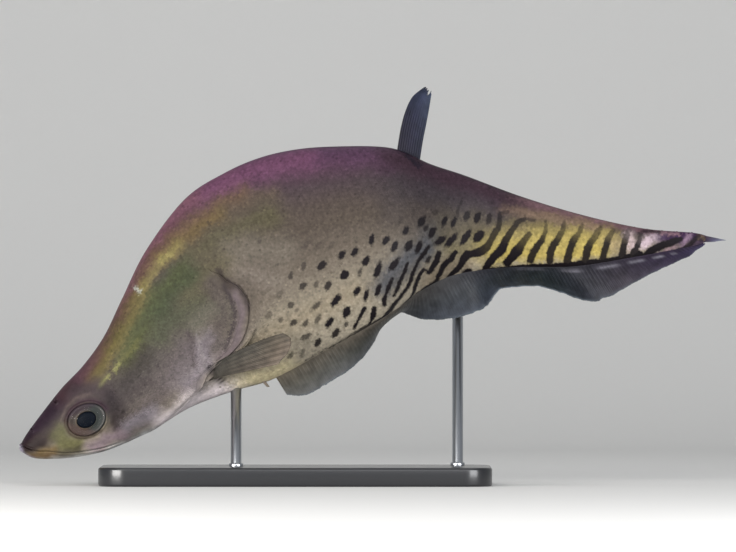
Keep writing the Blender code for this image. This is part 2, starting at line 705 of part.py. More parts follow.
def build_rod(name, x, y, top, material):
    low = BASE_SIZE[2] + GAP
    bm = bmesh.new()
    bmesh.ops.create_cone(
        bm, cap_ends=True, segments=20, radius1=ROD_RADIUS, radius2=ROD_RADIUS, depth=top - low
    )
    bmesh.ops.translate(bm, verts=bm.verts, vec=(x, y, (low + top) / 2))
    rod = closed_object(name, bm, bpy.data.meshes.new(name), material)
    return cut(rod, [envelope(7.5, 19.0, GAP)])


FLESH_PARTS = ((NECK + 0.01, TAIL_FROM - 0.015), (TAIL_FROM + 0.015, TAIL_END))


def main():
    clear_scene()
    skin = finish("skin", SKIN, 0.4)
    gill = finish("gill_cover", MAUVE, 0.4)
    pale = finish("jaw_skin", PALE_JAW, 0.4)
    fin = finish("fin", DARK_FIN, 0.5)
    eye = finish("eye", (0.03, 0.03, 0.03), 0.1)
    lacquer = finish("stand_lacquer", (0.03, 0.03, 0.035), 0.35)
    steel = finish("stand_steel", (0.6, 0.6, 0.62), 0.3, 1.0)
    build_head(skin)
    build_jaw(pale)
    for word, side in (("left", -1), ("right", 1)):
        build_cover(word + "_gill_cover", side, gill)
        eyeball(word + "_eye", side, 0.0, eye)
        build_pectoral(word + "_pectoral_fin", side, fin)
        build_pelvic(word + "_pelvic_fin", side, fin)
    build_flesh("trunk", *FLESH_PARTS[0], HEAD_POINTS, skin)
    build_flesh("tail", *FLESH_PARTS[1], TAIL_POINTS, skin)
    for name, first, last in FIN_PARTS:
        build_anal_fin(name, first, last, fin)
    build_back_fin(fin)
    build_caudal(fin)
    build_base(lacquer)
    build_rod("stand_rod_front", FRONT_ROD_X, sideways(np.array(FRONT_ROD_X)), FRONT_ROD_TOP, steel)
    rear = on_middle(REAR_ROD_LINE, 1.0)
    rear = rear + across(rear[0]) * REAR_ROD_SIDE
    build_rod("stand_rod_rear", rear[0], rear[1], REAR_ROD_TOP, steel)


main()
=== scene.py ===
"""A royal clown knifefish, a still model of life size on a plain display stand.

Metres, +Z up. The head points to -X and down, and the left flank faces -Y and the camera.
"""

import math

import bmesh
import bpy
import numpy as np
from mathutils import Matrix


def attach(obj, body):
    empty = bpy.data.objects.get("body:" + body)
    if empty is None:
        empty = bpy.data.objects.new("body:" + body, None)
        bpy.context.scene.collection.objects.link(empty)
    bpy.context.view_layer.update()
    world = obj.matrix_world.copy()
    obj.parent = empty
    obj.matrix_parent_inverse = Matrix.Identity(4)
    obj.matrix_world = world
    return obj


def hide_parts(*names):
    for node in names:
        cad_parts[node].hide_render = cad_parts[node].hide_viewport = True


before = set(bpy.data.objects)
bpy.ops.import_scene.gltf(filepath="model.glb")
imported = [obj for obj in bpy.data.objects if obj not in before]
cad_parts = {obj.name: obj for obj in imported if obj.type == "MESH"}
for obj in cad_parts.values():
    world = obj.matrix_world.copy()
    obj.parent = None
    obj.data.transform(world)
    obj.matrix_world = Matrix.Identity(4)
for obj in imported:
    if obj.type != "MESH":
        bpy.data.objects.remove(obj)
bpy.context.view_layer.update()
bpy.ops.object.select_all(action="DESELECT")

# Skin. One sheet of scaleless skin over the head, jaws, gill covers, trunk and tail of the fish.
# It is drawn as a boat's lines are: section lines from the snout to the tail, each with a width.
# It lies just inside the solids, by the depth of the scales that are laid on it later.
MM = 0.001
LINES = (
    # back x and z, belly x and z, bow to the rear, half width, and the share of depth of that width
    (-225.2, 26.4, -225.2, 21.4, 0.0, 8.0, 0.60),  # 0 snout
    (-221.2, 33.4, -216.6, 17.0, 0.0, 8.6, 0.62),
    (-210.4, 48.0, -201.6, 16.6, 0.0, 11.0, 0.62),  # 2 hind nostril
    (-199.0, 62.4, -187.6, 18.0, 0.0, 13.2, 0.60),
    (-185.2, 77.0, -172.4, 21.2, 0.0, 15.2, 0.60),  # 4 back of the eye
    (-172.2, 95.4, -158.8, 26.4, 4.0, 16.8, 0.60),
    (-160.6, 119.6, -150.6, 30.2, 14.0, 18.4, 0.60),
    (-145.4, 150.2, -144.4, 33.0, 32.0, 20.0, 0.60),
    (-120.6, 182.8, -139.6, 35.4, 51.0, 21.4, 0.60),  # 8 gill opening
    (-95.0, 199.6, -117.4, 49.2, 39.0, 22.0, 0.58),
    (-71.4, 209.6, -90.6, 59.4, 23.0, 22.0, 0.56),
    (-47.0, 214.8, -65.2, 67.0, 9.0, 21.6, 0.55),  # 11 first ray of the anal fin
    (-21.6, 216.4, -35.8, 82.4, 2.6, 20.4, 0.54),
    (3.8, 216.2, -6.4, 99.0, 0.0, 18.6, 0.52),
    (18.0, 213.4, 14.6, 112.4, 0.0, 17.0, 0.50),  # 14 back fin
    (35.8, 205.4, 29.4, 123.2, 0.0, 15.0, 0.48),
    (58.4, 198.0, 52.0, 133.6, 0.0, 12.6, 0.46),
    (94.4, 184.6, 88.0, 138.2, 0.0, 9.6, 0.44),
    (133.4, 172.8, 128.2, 138.6, 0.0, 6.8, 0.43),
    (172.0, 164.2, 168.2, 145.0, 0.0, 4.2, 0.42),
    (203.6, 161.4, 202.2, 151.8, 0.0, 2.2, 0.44),
    (212.6, 159.4, 211.8, 154.8, 0.0, 1.3, 0.50),  # 21 end of the flesh
)
TAIL_END = 21
NOSE_TIP = -0.036  # the section line on which the nose closes
NOSE_ROUND = 0.7 * MM
BOW_LEVEL, BOW_SPREAD = 0.57, 0.30
BACK_ROUND, BELLY_ROUND = 0.55, 0.62  # 0.5 is an ellipse, and more is a sharper keel
COAT = 0.22 * MM
CREASE_FROM, CREASE_TO, CREASE_SHIFT = -4 * MM, 62 * MM, 23 * MM  # the tail set over to the far side
TAIL_CURL = 9 * MM
HEAD_TURN, HEAD_TURN_FROM = 5 * MM, -145 * MM
FIN_FROM, FIN_TO = 11.1, 20.7  # section lines between which the anal fin grows
FIN_ROOT_HALF = 1.25 * MM
JAW_BAND = ((0.0, 5.0), (1.5, 5.2), (2.5, 3.3), (3.6, 2.5), (4.7, 1.8), (6.9, 1.3))
JAW_END = 6.9


def smooth_step(share):
    """A share eased in and out, and held at 0 and 1 past its ends."""
    share = np.clip(share, 0.0, 1.0)
    return share * share * (3.0 - 2.0 * share)


def through(points, at):
    """A smooth curve through (place, value) pairs, with no swing past them, read at the places given."""
    places = np.array([p[0] for p in points])
    values = np.array([p[1] for p in points])
    secants = np.diff(values) / np.diff(places)
    before, after = secants[:-1], secants[1:]
    turns = before * after <= 0
    inner = np.where(turns, 0.0, 2 * before * after / np.where(turns, 1.0, before + after))
    slopes = np.concatenate([secants[:1], inner, secants[-1:]])
    at = np.clip(at, places[0], places[-1])
    i = np.clip(np.searchsorted(places, at, side="right") - 1, 0, len(places) - 2)
    wide = places[i + 1] - places[i]
    u = (at - places[i]) / wide
    rise = values[i] * (1 + 2 * u) * (1 - u) ** 2 + values[i + 1] * u * u * (3 - 2 * u)
    return rise + wide * (slopes[i] * u * (1 - u) ** 2 - slopes[i + 1] * u * u * (1 - u))


def spline(before, start, end, after, u):
    """A Catmull-Rom curve from start to end, at the share u of the way."""
    return 0.5 * (
        2 * start
        + (end - before) * u
        + (2 * before - 5 * start + 4 * end - after) * u**2
        + (3 * start - before - 3 * end + after) * u**3
    )


def line_values(s):
    """The section line at s, which runs from 0 at the snout, by a smooth curve through LINES."""
    table = np.array(LINES)
    table[:, :6] *= MM
    s = np.clip(np.asarray(s, float), 0.0, TAIL_END)
    i = np.minimum(s.astype(int), TAIL_END - 1)
    u = (s - i)[..., None]
    before, after = table[np.maximum(i - 1, 0)], table[np.minimum(i + 2, TAIL_END)]
    return spline(before, table[i], table[i + 1], after, u)


def sideways(x):
    """How far the fish's middle plane lies to +Y at this x."""
    over = CREASE_SHIFT * smooth_step((x - CREASE_FROM) / (CREASE_TO - CREASE_FROM))
    tail = np.clip((x - CREASE_TO) / (226 * MM - CREASE_TO), 0.0, 1.2)
    head = np.clip((HEAD_TURN_FROM - x) / (HEAD_TURN_FROM + 226 * MM), 0.0, 1.2)
    return over - TAIL_CURL * tail**2 - HEAD_TURN * head**2


def across(x):
    """The unit vectors at right angles to the middle plane, pointing to the fish's right."""
    small = 0.01 * MM
    slope = (sideways(x + small) - sideways(x - small)) / (2 * small)
    long = np.sqrt(1 + slope**2)
    return np.stack([-slope / long, 1 / long, np.zeros_like(x)], axis=-1)


def on_middle(s, t, outward=0.0):
    """The point of the middle plane at section line s and share t of the way from back to belly."""
    s, t = np.broadcast_arrays(np.asarray(s, float), np.asarray(t, float))
    line = line_values(s)
    back, belly, bow = line[..., 0:2], line[..., 2:4], line[..., 4]
    down = belly - back
    down = down / np.maximum(np.linalg.norm(down, axis=-1, keepdims=True), 1e-9)
    back, belly = back - down * outward, belly + down * outward
    flat = back + (belly - back) * t[..., None]
    arc = np.exp(-(((t - BOW_LEVEL) / BOW_SPREAD) ** 2)) * (1 - (2 * t - 1) ** 8)
    x = flat[..., 0] + bow * arc
    return np.stack([x, sideways(x), flat[..., 1]], axis=-1)


def keel_half(s):
    """Half the width of the belly's edge, where the anal fin grows from it."""
    starts = smooth_step((s - (FIN_FROM - 0.5)) / 0.5)
    return FIN_ROOT_HALF * starts * (1 - 0.5 * smooth_step((s - 17.0) / 4.0))


def nose(s):
    """How the snout's width closes towards its tip, as a share."""
    return np.sqrt(1 - (1 - np.clip((s - NOSE_TIP) / 1.2, 0.0, 1.0)) ** 2)


def half_width(s, t):
    """Half the width of the smooth body at section line s and share t."""
    s, t = np.broadcast_arrays(np.asarray(s, float), np.asarray(t, float))
    line = line_values(s)
    wide, widest = line[..., 5], line[..., 6]
    above = np.clip(1 - t / widest, 0.0, 1.0)
    below = np.clip((t - widest) / (1 - widest), 0.0, 1.0)
    profile = np.where(t < widest, (1 - above**2) ** BACK_ROUND, (1 - below**2) ** BELLY_ROUND)
    keel = keel_half(s) * smooth_step((t - 0.6) / 0.4)
    return np.maximum((wide - COAT) * nose(s) * profile, keel)


def bare(s, t, side):
    """The smooth body under the scales, on the left flank at side -1 and the right at 1."""
    middle = on_middle(s, t, -COAT)
    tip = 1 - (nose(s) / nose(0.0)) ** 2
    bulge = NOSE_ROUND * np.where(s < 0, tip, 0.0) * (1 - (2 * t - 1) ** 4)
    point = middle + side * across(middle[..., 0]) * half_width(s, t)[..., None]
    point[..., 0] -= bulge
    return point


def facing(s, t, side):
    """The way the smooth body faces, out of the fish."""
    s, t = np.broadcast_arrays(np.asarray(s, float), np.asarray(t, float))
    along = bare(np.minimum(s + 0.03, TAIL_END), t, side) - bare(np.maximum(s - 0.03, NOSE_TIP), t, side)
    down = bare(s, np.minimum(t + 0.004, 1.0), side) - bare(s, np.maximum(t - 0.004, 0.0), side)
    normal = side * np.cross(along, down)
    return normal / np.maximum(np.linalg.norm(normal, axis=-1, keepdims=True), 1e-15)


def depth(s):
    """The distance from back to belly along the section line."""
    line = line_values(s)
    return np.linalg.norm(line[..., 2:4] - line[..., 0:2], axis=-1)


def jaw_line(s):
    """The share of the section line where the mouth is."""
    return 1 - np.minimum(through(JAW_BAND, s) * MM / depth(s), 0.62)


def lines_between(first, last, step):
    """Values of s from first to last, about a step apart along the longer of back and belly."""
    fine = np.linspace(first, last, 400)
    line = line_values(fine)
    back = np.linalg.norm(np.diff(line[:, 0:2], axis=0), axis=1)
    belly = np.linalg.norm(np.diff(line[:, 2:4], axis=0), axis=1)
    run = np.concatenate([[0.0], np.cumsum(np.maximum(back, belly))])
    count = max(2, int(round(run[-1] / step)))
    return np.interp(np.linspace(0, run[-1], count + 1), run, fine)


def place_on_lines(x, z, s, t, side=-1):
    """The section line and share that lie at x, z seen from the side, from a first guess at them."""
    x, z = np.asarray(x, float), np.asarray(z, float)
    s, t = np.full(x.shape, s, float), np.full(x.shape, t, float)
    for _ in range(12):
        here = bare(s, t, side)[..., [0, 2]]
        by_s = (bare(s + 0.01, t, side)[..., [0, 2]] - here) / 0.01
        by_t = (bare(s, t + 0.002, side)[..., [0, 2]] - here) / 0.002
        miss_x, miss_z = x - here[..., 0], z - here[..., 1]
        turn = by_s[..., 0] * by_t[..., 1] - by_s[..., 1] * by_t[..., 0]
        s = np.clip(s + (miss_x * by_t[..., 1] - miss_z * by_t[..., 0]) / turn, 0.02, TAIL_END - 0.02)
        t = np.clip(t + (miss_z * by_s[..., 0] - miss_x * by_s[..., 1]) / turn, 0.005, 0.995)
    return s, t


def place_in_mm(at, side):
    """The section line and share of a place given as x and z in mm and a first guess at them."""
    return place_on_lines(np.array([at[0] * MM]), np.array([at[1] * MM]), *at[2:], side)


def beside(a, b, x, z):
    """How far from a to b each place lies, as a share, and how far off that line it is in x and z."""
    step = b - a
    u = np.clip(((x - a[0]) * step[0] + (z - a[1]) * step[1]) / (step @ step), 0.0, 1.0)
    return u, x - a[0] - u * step[0], z - a[1] - u * step[1]


def from_path(path, x, z):
    """Distance to a line through points in mm, which side of it each place is on, and how far along."""
    best = np.full(x.shape, 1e3)
    sign = np.zeros(x.shape)
    along = np.zeros(x.shape)
    points = np.array(path) * MM
    for i, (a, b) in enumerate(zip(points[:-1], points[1:])):
        u, off_x, off_z = beside(a, b, x, z)
        away = np.hypot(off_x, off_z)
        near = away < best
        best = np.where(near, away, best)
        sign = np.where(near, np.sign((b[0] - a[0]) * off_z - (b[1] - a[1]) * off_x), sign)
        along = np.where(near, (i + u) / (len(points) - 1), along)
    return best, sign, along


# Gill opening, as section line against share: down behind the flap, then forward under the head.
GILL_EDGE = (
    (0.0, 7.9), (0.2, 7.9), (0.30, 7.95), (0.337, 8.06), (0.37, 8.1), (0.403, 8.2), (0.45, 8.22),
    (0.5, 8.1), (0.553, 7.98), (0.607, 7.9), (0.65, 7.76), (0.69, 7.62), (0.725, 7.58), (0.773, 7.78),
    (0.83, 8.15), (0.893, 8.48), (0.947, 8.58), (0.98, 8.45), (1.0, 7.9),
)
GILL_LINE, GILL_REACH = 7.9, 2.2  # the column that follows the edge, and how far its neighbours give way
# Height of the gill cover ahead of its edge, in mm: a thin soft flap, then the firm cover.
COVER_RISE = ((0.0, 0.75), (8.4, 0.62), (9.8, 1.05), (14.0, 1.0), (26.0, 0.3), (36.0, 0.0))
# The flap's rim and the slit under it: mm behind the edge, and mm out of the skin.
FLAP = (
    (-0.7, 0.76), (-0.3, 0.76), (-0.05, 0.68), (0.06, 0.5), (0.04, 0.3), (-0.15, 0.12), (-0.5, 0.0),
    (-1.0, -0.16), (-1.25, -0.36), (-0.9, -0.52), (-0.4, -0.48), (0.1, -0.38), (0.6, -0.22), (1.1, -0.06),
)
CHEEK_FOLD = ((-115.0, 103.0), (-112.5, 96.8), (-110.0, 88.0), (-107.9, 80.0), (-107.6, 73.0), (-109.0, 66.0))
CHEEK_CREASE = ((-119.0, 97.0), (-117.5, 88.0), (-115.0, 80.0), (-113.5, 72.0))
BROW_LINE = ((-178.0, 58.5), (-170.4, 67.7), (-164.0, 74.5), (-155.7, 86.2), (-146.2, 105.0), (-136.0, 121.0))
NAPE_LINE = ((-196.0, 58.5), (-184.0, 70.0), (-172.0, 84.0), (-162.0, 102.0), (-152.0, 122.0))
# Low folds: path, height and half the width in mm, and the shares over which the two ends fade.
LOW_FOLDS = (
    (CHEEK_CREASE, -0.35, 1.6, 0.3, 0.3),
    (BROW_LINE, 0.4, 1.3, 0.15, 0.4),
    (NAPE_LINE, -0.3, 1.6, 0.2, 0.5),
)
LINE_GAP = 36.0  # mm between section lines at the gill cover, about


def gill_window(t):
    """How much of the gill cover's height holds at each share: none over the nape, less below."""
    fades = smooth_step((t - 0.295) / 0.05) * smooth_step((1.0 - t) / 0.04)
    return fades * (1 - 0.3 * smooth_step((t - 0.7) / 0.1))


def fading(along, first, last):
    """A share that rises over the first part of a path and falls over its last part."""
    return smooth_step(along / first) * smooth_step((1 - along) / last)


def relief(s, t, x, z):
    """How far the skin's folds stand out of the smooth body, in metres."""
    above = (jaw_line(s) - t) * depth(s) / MM
    mouth = 1 - 0.92 * smooth_step((s - 3.9) / 0.9) - 0.08 * smooth_step((s - 5.7) / 1.1)
    rise = 0.55 * np.exp(-(((above - 1.3) / 0.75) ** 2)) + 0.3 * np.exp(-(((above + 0.85) / 0.5) ** 2))
    rise = (rise - 1.5 * np.exp(-((above / 0.24) ** 2))) * mouth
    ahead = (through(GILL_EDGE, t) - s) * LINE_GAP
    cover = through(COVER_RISE, ahead) * smooth_step(ahead / 0.4) * gill_window(t)
    away, sign, along = from_path(CHEEK_FOLD, x, z)
    step = smooth_step(0.5 + sign * away / (1.6 * MM))
    rise = rise + cover + 0.7 * step * np.exp(-away / (5.0 * MM)) * fading(along, 0.2, 0.1)
    for path, height, half, first, last in LOW_FOLDS:
        away, _, along = from_path(path, x, z)
        rise = rise + height * np.exp(-((away / (half * MM)) ** 2)) * fading(along, first, last)
    return rise * MM


def skin_at(s, t, side, rise=0.0):
    """The skin with its folds. The right flank is folded as the left is."""
    left = bare(s, t, -1)
    height = relief(s, t, left[..., 0], left[..., 2]) + rise
    return bare(s, t, side) + facing(s, t, side) * height[..., None]


SKIN_ROWS = 92  # down to the mouth, or as far as it would run on
# Rows that keep their distance to the line of the mouth, in mm above it.
LIP_ROWS = (2.6, 2.1, 1.7, 1.3, 0.95, 0.65, 0.42, 0.26, 0.14, 0.0, -0.14, -0.26, -0.42, -0.62, -0.85)
JAW_ROWS = 7


def rows_at(s):
    """Shares down the section lines: back to lip, the lip rows, and the lower jaw or belly."""
    split = np.where(s < JAW_END, jaw_line(s), 0)
    later = jaw_line(JAW_END) + (0.86 - jaw_line(JAW_END)) * smooth_step((s - JAW_END) / 2.2)
    split = np.where(s < JAW_END, split, later)[..., None]
    wide = (1 + 3.0 * smooth_step((s - JAW_END) / 2.2))[..., None] * MM / depth(s)[..., None]
    lips = split - np.array(LIP_ROWS) * np.minimum(wide, 0.12)
    share = np.linspace(0, 1, SKIN_ROWS - len(LIP_ROWS) - JAW_ROWS)[:-1]
    share = np.where(share < 0.3, 0.3 * (share / 0.3) ** 1.6, share)
    upper = lips[..., :1] * share
    low = 1 - (1 - np.linspace(0, 1, JAW_ROWS + 1)[1:]) ** 1.4
    lower = lips[..., -1:] + (1 - lips[..., -1:]) * low
    return np.concatenate([upper, lips, lower], axis=-1)


# Columns: fine on the head, then the rim of the gill flap, then coarser to the tail.
head_columns = np.concatenate([
    np.linspace(NOSE_TIP, 0.0, 4)[:-1],
    lines_between(0.0, 0.3, 0.5 * MM)[:-1],
    lines_between(0.3, GILL_LINE - 0.035, 1.15 * MM),
])
body_columns = np.concatenate([
    lines_between(GILL_LINE + 0.05, 14.0, 1.75 * MM)[:-1],
    lines_between(14.0, TAIL_END, 1.7 * MM),
])
base = np.concatenate([head_columns, np.full(len(FLAP), GILL_LINE), body_columns])
flap_columns = slice(len(head_columns), len(head_columns) + len(FLAP))
tucked, spaced, raised = np.zeros((3, len(base)))
tucked[flap_columns] = [p[0] for p in FLAP]
spaced[flap_columns] = np.linspace(FLAP[0][0], FLAP[-1][0], len(FLAP))
raised[flap_columns] = [p[1] for p in FLAP]

grid_s = np.tile(base[:, None], (1, len(rows_at(np.array([1.0]))[0])))
give = np.clip(1 - np.abs(base - GILL_LINE) / GILL_REACH, 0.0, 1.0)[:, None]
for _ in range(4):
    grid_t = np.take_along_axis(
        rows_at(grid_s.ravel()).reshape(*grid_s.shape, -1),
        np.arange(grid_s.shape[1])[None, :, None],
        axis=2,
    )[..., 0]
    edge = through(GILL_EDGE, grid_t)
    grid_s = base[:, None] + give * (edge - GILL_LINE)
pace = np.linalg.norm(bare(edge + 0.04, grid_t, -1) - bare(edge - 0.04, grid_t, -1), axis=-1) / 0.08
window = gill_window(grid_t)
slide = (spaced[:, None] + (tucked - spaced)[:, None] * np.minimum(window * 1.4, 1.0)) * MM / pace
grid_s = np.clip(grid_s + slide, NOSE_TIP, TAIL_END)
flap_rise = raised[:, None] * window * MM


EVEN_REACH = 10  # mm of reach past which the points of a round feature are spread evenly


class Sheet:
    """The skin while it is being sewn together: points with their lines and shares, and faces."""

    def __init__(self):
        self.points, self.s, self.t, self.side, self.faces = [], [], [], [], []

    def add(self, points, s, t, side):
        """Takes up points, and returns their numbers in the same rows and columns."""
        first = len(self.points)
        self.points.extend(points.reshape(-1, 3))
        self.s.extend(np.broadcast_to(s, points.shape[:-1]).ravel())
        self.t.extend(np.broadcast_to(t, points.shape[:-1]).ravel())
        self.side.extend([side] * (len(self.points) - first))
        return np.arange(first, len(self.points)).reshape(points.shape[:-1])

    def face(self, corners, side):
        """Takes up a face, turned round on the left flank."""
        self.faces.append(tuple(corners) if side > 0 else tuple(corners)[::-1])


def round_feature(sheet, side, index, points, at, reach, rings, stretch=(1.0, 1.0, 0.0)):
    """Opens the sheet round a place on the head, and fills it with rings that rise and sink.

    rings are (radius, height) in mm from the outside in, and stretch is the share of the radius
    along and across, and the turn of the long way. Returns the corners of the opening in the grid.
    """
    x, z = at[0] * MM, at[1] * MM
    away = np.hypot(points[..., 0] - x, points[..., 2] - z)
    inside = np.argwhere(away < reach * MM)
    (c0, r0), (c1, r1) = np.maximum(inside.min(0) - 1, 0), inside.max(0) + 1
    rim = [(c, r0) for c in range(c0, c1)] + [(c1, r) for r in range(r0, r1)]
    rim += [(c, r1) for c in range(c1, c0, -1)] + [(c0, r) for r in range(r1, r0, -1)]
    flat = np.array([points[c, r][[0, 2]] for c, r in rim]) - (x, z)
    angle = np.unwrap(np.arctan2(flat[:, 1], flat[:, 0]))
    far = np.hypot(flat[:, 0], flat[:, 1])
    even = angle[0] + np.arange(len(rim)) / len(rim) * np.sign(angle[-1] - angle[0]) * 2 * math.pi
    even = even + np.mean(angle - even) if reach > EVEN_REACH else angle
    middle = place_in_mm(at, side)
    loops = [np.array([index[c, r] for c, r in rim])]
    blend = 6
    outer = rings[0][0] * MM
    wanted = [(far + (outer - far) * k / blend, 0.0, k / blend) for k in range(1, blend)]
    wanted += [(np.full(len(rim), radius * MM), height * MM, 1.0) for radius, height in rings]
    for radius, height, share in wanted:
        turn = angle + (even - angle) * share
        squeeze = 1 / np.hypot(np.cos(turn - stretch[2]) / stretch[0], np.sin(turn - stretch[2]) / stretch[1])
        squeeze = 1 + (squeeze - 1) * share
        px, pz = x + radius * squeeze * np.cos(turn), z + radius * squeeze * np.sin(turn)
        s, t = place_on_lines(px, pz, middle[0][0], middle[1][0], side)
        loops.append(sheet.add(skin_at(s, t, side, height), s, t, side))
    for one, other in zip(loops[:-1], loops[1:]):
        for i in range(len(rim)):
            j = (i + 1) % len(rim)
            sheet.face((one[i], one[j], other[j], other[i])[::-1], side)
    s, t = middle
    pole = sheet.add(skin_at(s, t, side, rings[-1][1] * MM), s, t, side)[0]
    for i in range(len(rim)):
        sheet.face((loops[-1][i], loops[-1][(i + 1) % len(rim)], pole)[::-1], side)
    return c0, c1, r0, r1


# The orbit's soft rim and socket, and the nostrils: the front one is a short tube, the hind one a pit.
EYE = (-183.0, 41.9, 3.4, 0.5)
EYE_OVAL = (1.13, 0.89, math.radians(25))
ORBIT_RINGS = (
    (13.6, 0.0), (13.3, 0.08), (13.0, 0.24), (12.7, 0.44), (12.35, 0.60), (12.0, 0.68), (11.75, 0.64),
    (11.5, 0.46), (11.3, 0.16), (11.2, -0.2), (11.15, -0.8), (11.1, -2.2), (8.0, -3.0), (4.0, -3.2),
)
FRONT_NOSTRIL = (-217.6, 35.0, 1.4, 0.3)
FRONT_RINGS = (
    (1.65, 0.0), (1.42, 0.08), (1.2, 0.3), (1.05, 0.62), (0.96, 0.95), (0.9, 1.2), (0.8, 1.36),
    (0.66, 1.4), (0.52, 1.3), (0.46, 0.9), (0.42, 0.3), (0.2, 0.2),
)
HIND_NOSTRIL = (-202.7, 53.3, 2.4, 0.16)
HIND_RINGS = (
    (2.3, 0.0), (2.1, 0.08), (1.9, 0.22), (1.7, 0.36), (1.45, 0.4), (1.25, 0.26), (1.1, -0.1),
    (1.0, -0.7), (0.9, -1.4), (0.45, -1.7),
)

sheet = Sheet()
sides = {}
for side in (-1, 1):
    points = skin_at(grid_s, grid_t, side, flap_rise)
    sides[side] = sheet.add(points, grid_s, grid_t, side)
    holes = [
        round_feature(sheet, side, sides[side], points, EYE, 15.6, ORBIT_RINGS, EYE_OVAL),
        round_feature(sheet, side, sides[side], points, FRONT_NOSTRIL, 1.8, FRONT_RINGS),
        round_feature(sheet, side, sides[side], points, HIND_NOSTRIL, 2.4, HIND_RINGS),
    ]
    keep = np.ones((len(base) - 1, grid_t.shape[1] - 1), bool)
    for c0, c1, r0, r1 in holes:
        keep[c0:c1, r0:r1] = False
    index = sides[side]
    for c, r in np.argwhere(keep):
        sheet.face((index[c, r], index[c, r + 1], index[c + 1, r + 1], index[c + 1, r]), side)
left, right = sides[-1], sides[1]
for c in range(len(base) - 1):
    sheet.face((left[c, -1], left[c + 1, -1], right[c + 1, -1], right[c, -1]), 1)
for r in range(grid_t.shape[1] - 1):
    sheet.face((left[-1, r], left[-1, r + 1], right[-1, r + 1], right[-1, r])[::-1], 1)
    sheet.face((left[0, r], left[0, r + 1], right[0, r + 1], right[0, r]), 1)


def hex_colour(code):
    """An sRGB hex value as linear red, green and blue."""
    srgb = np.array([int(code[i : i + 2], 16) for i in (1, 3, 5)]) / 255
    return np.where(srgb <= 0.04045, srgb / 12.92, ((srgb + 0.055) / 1.055) ** 2.4)


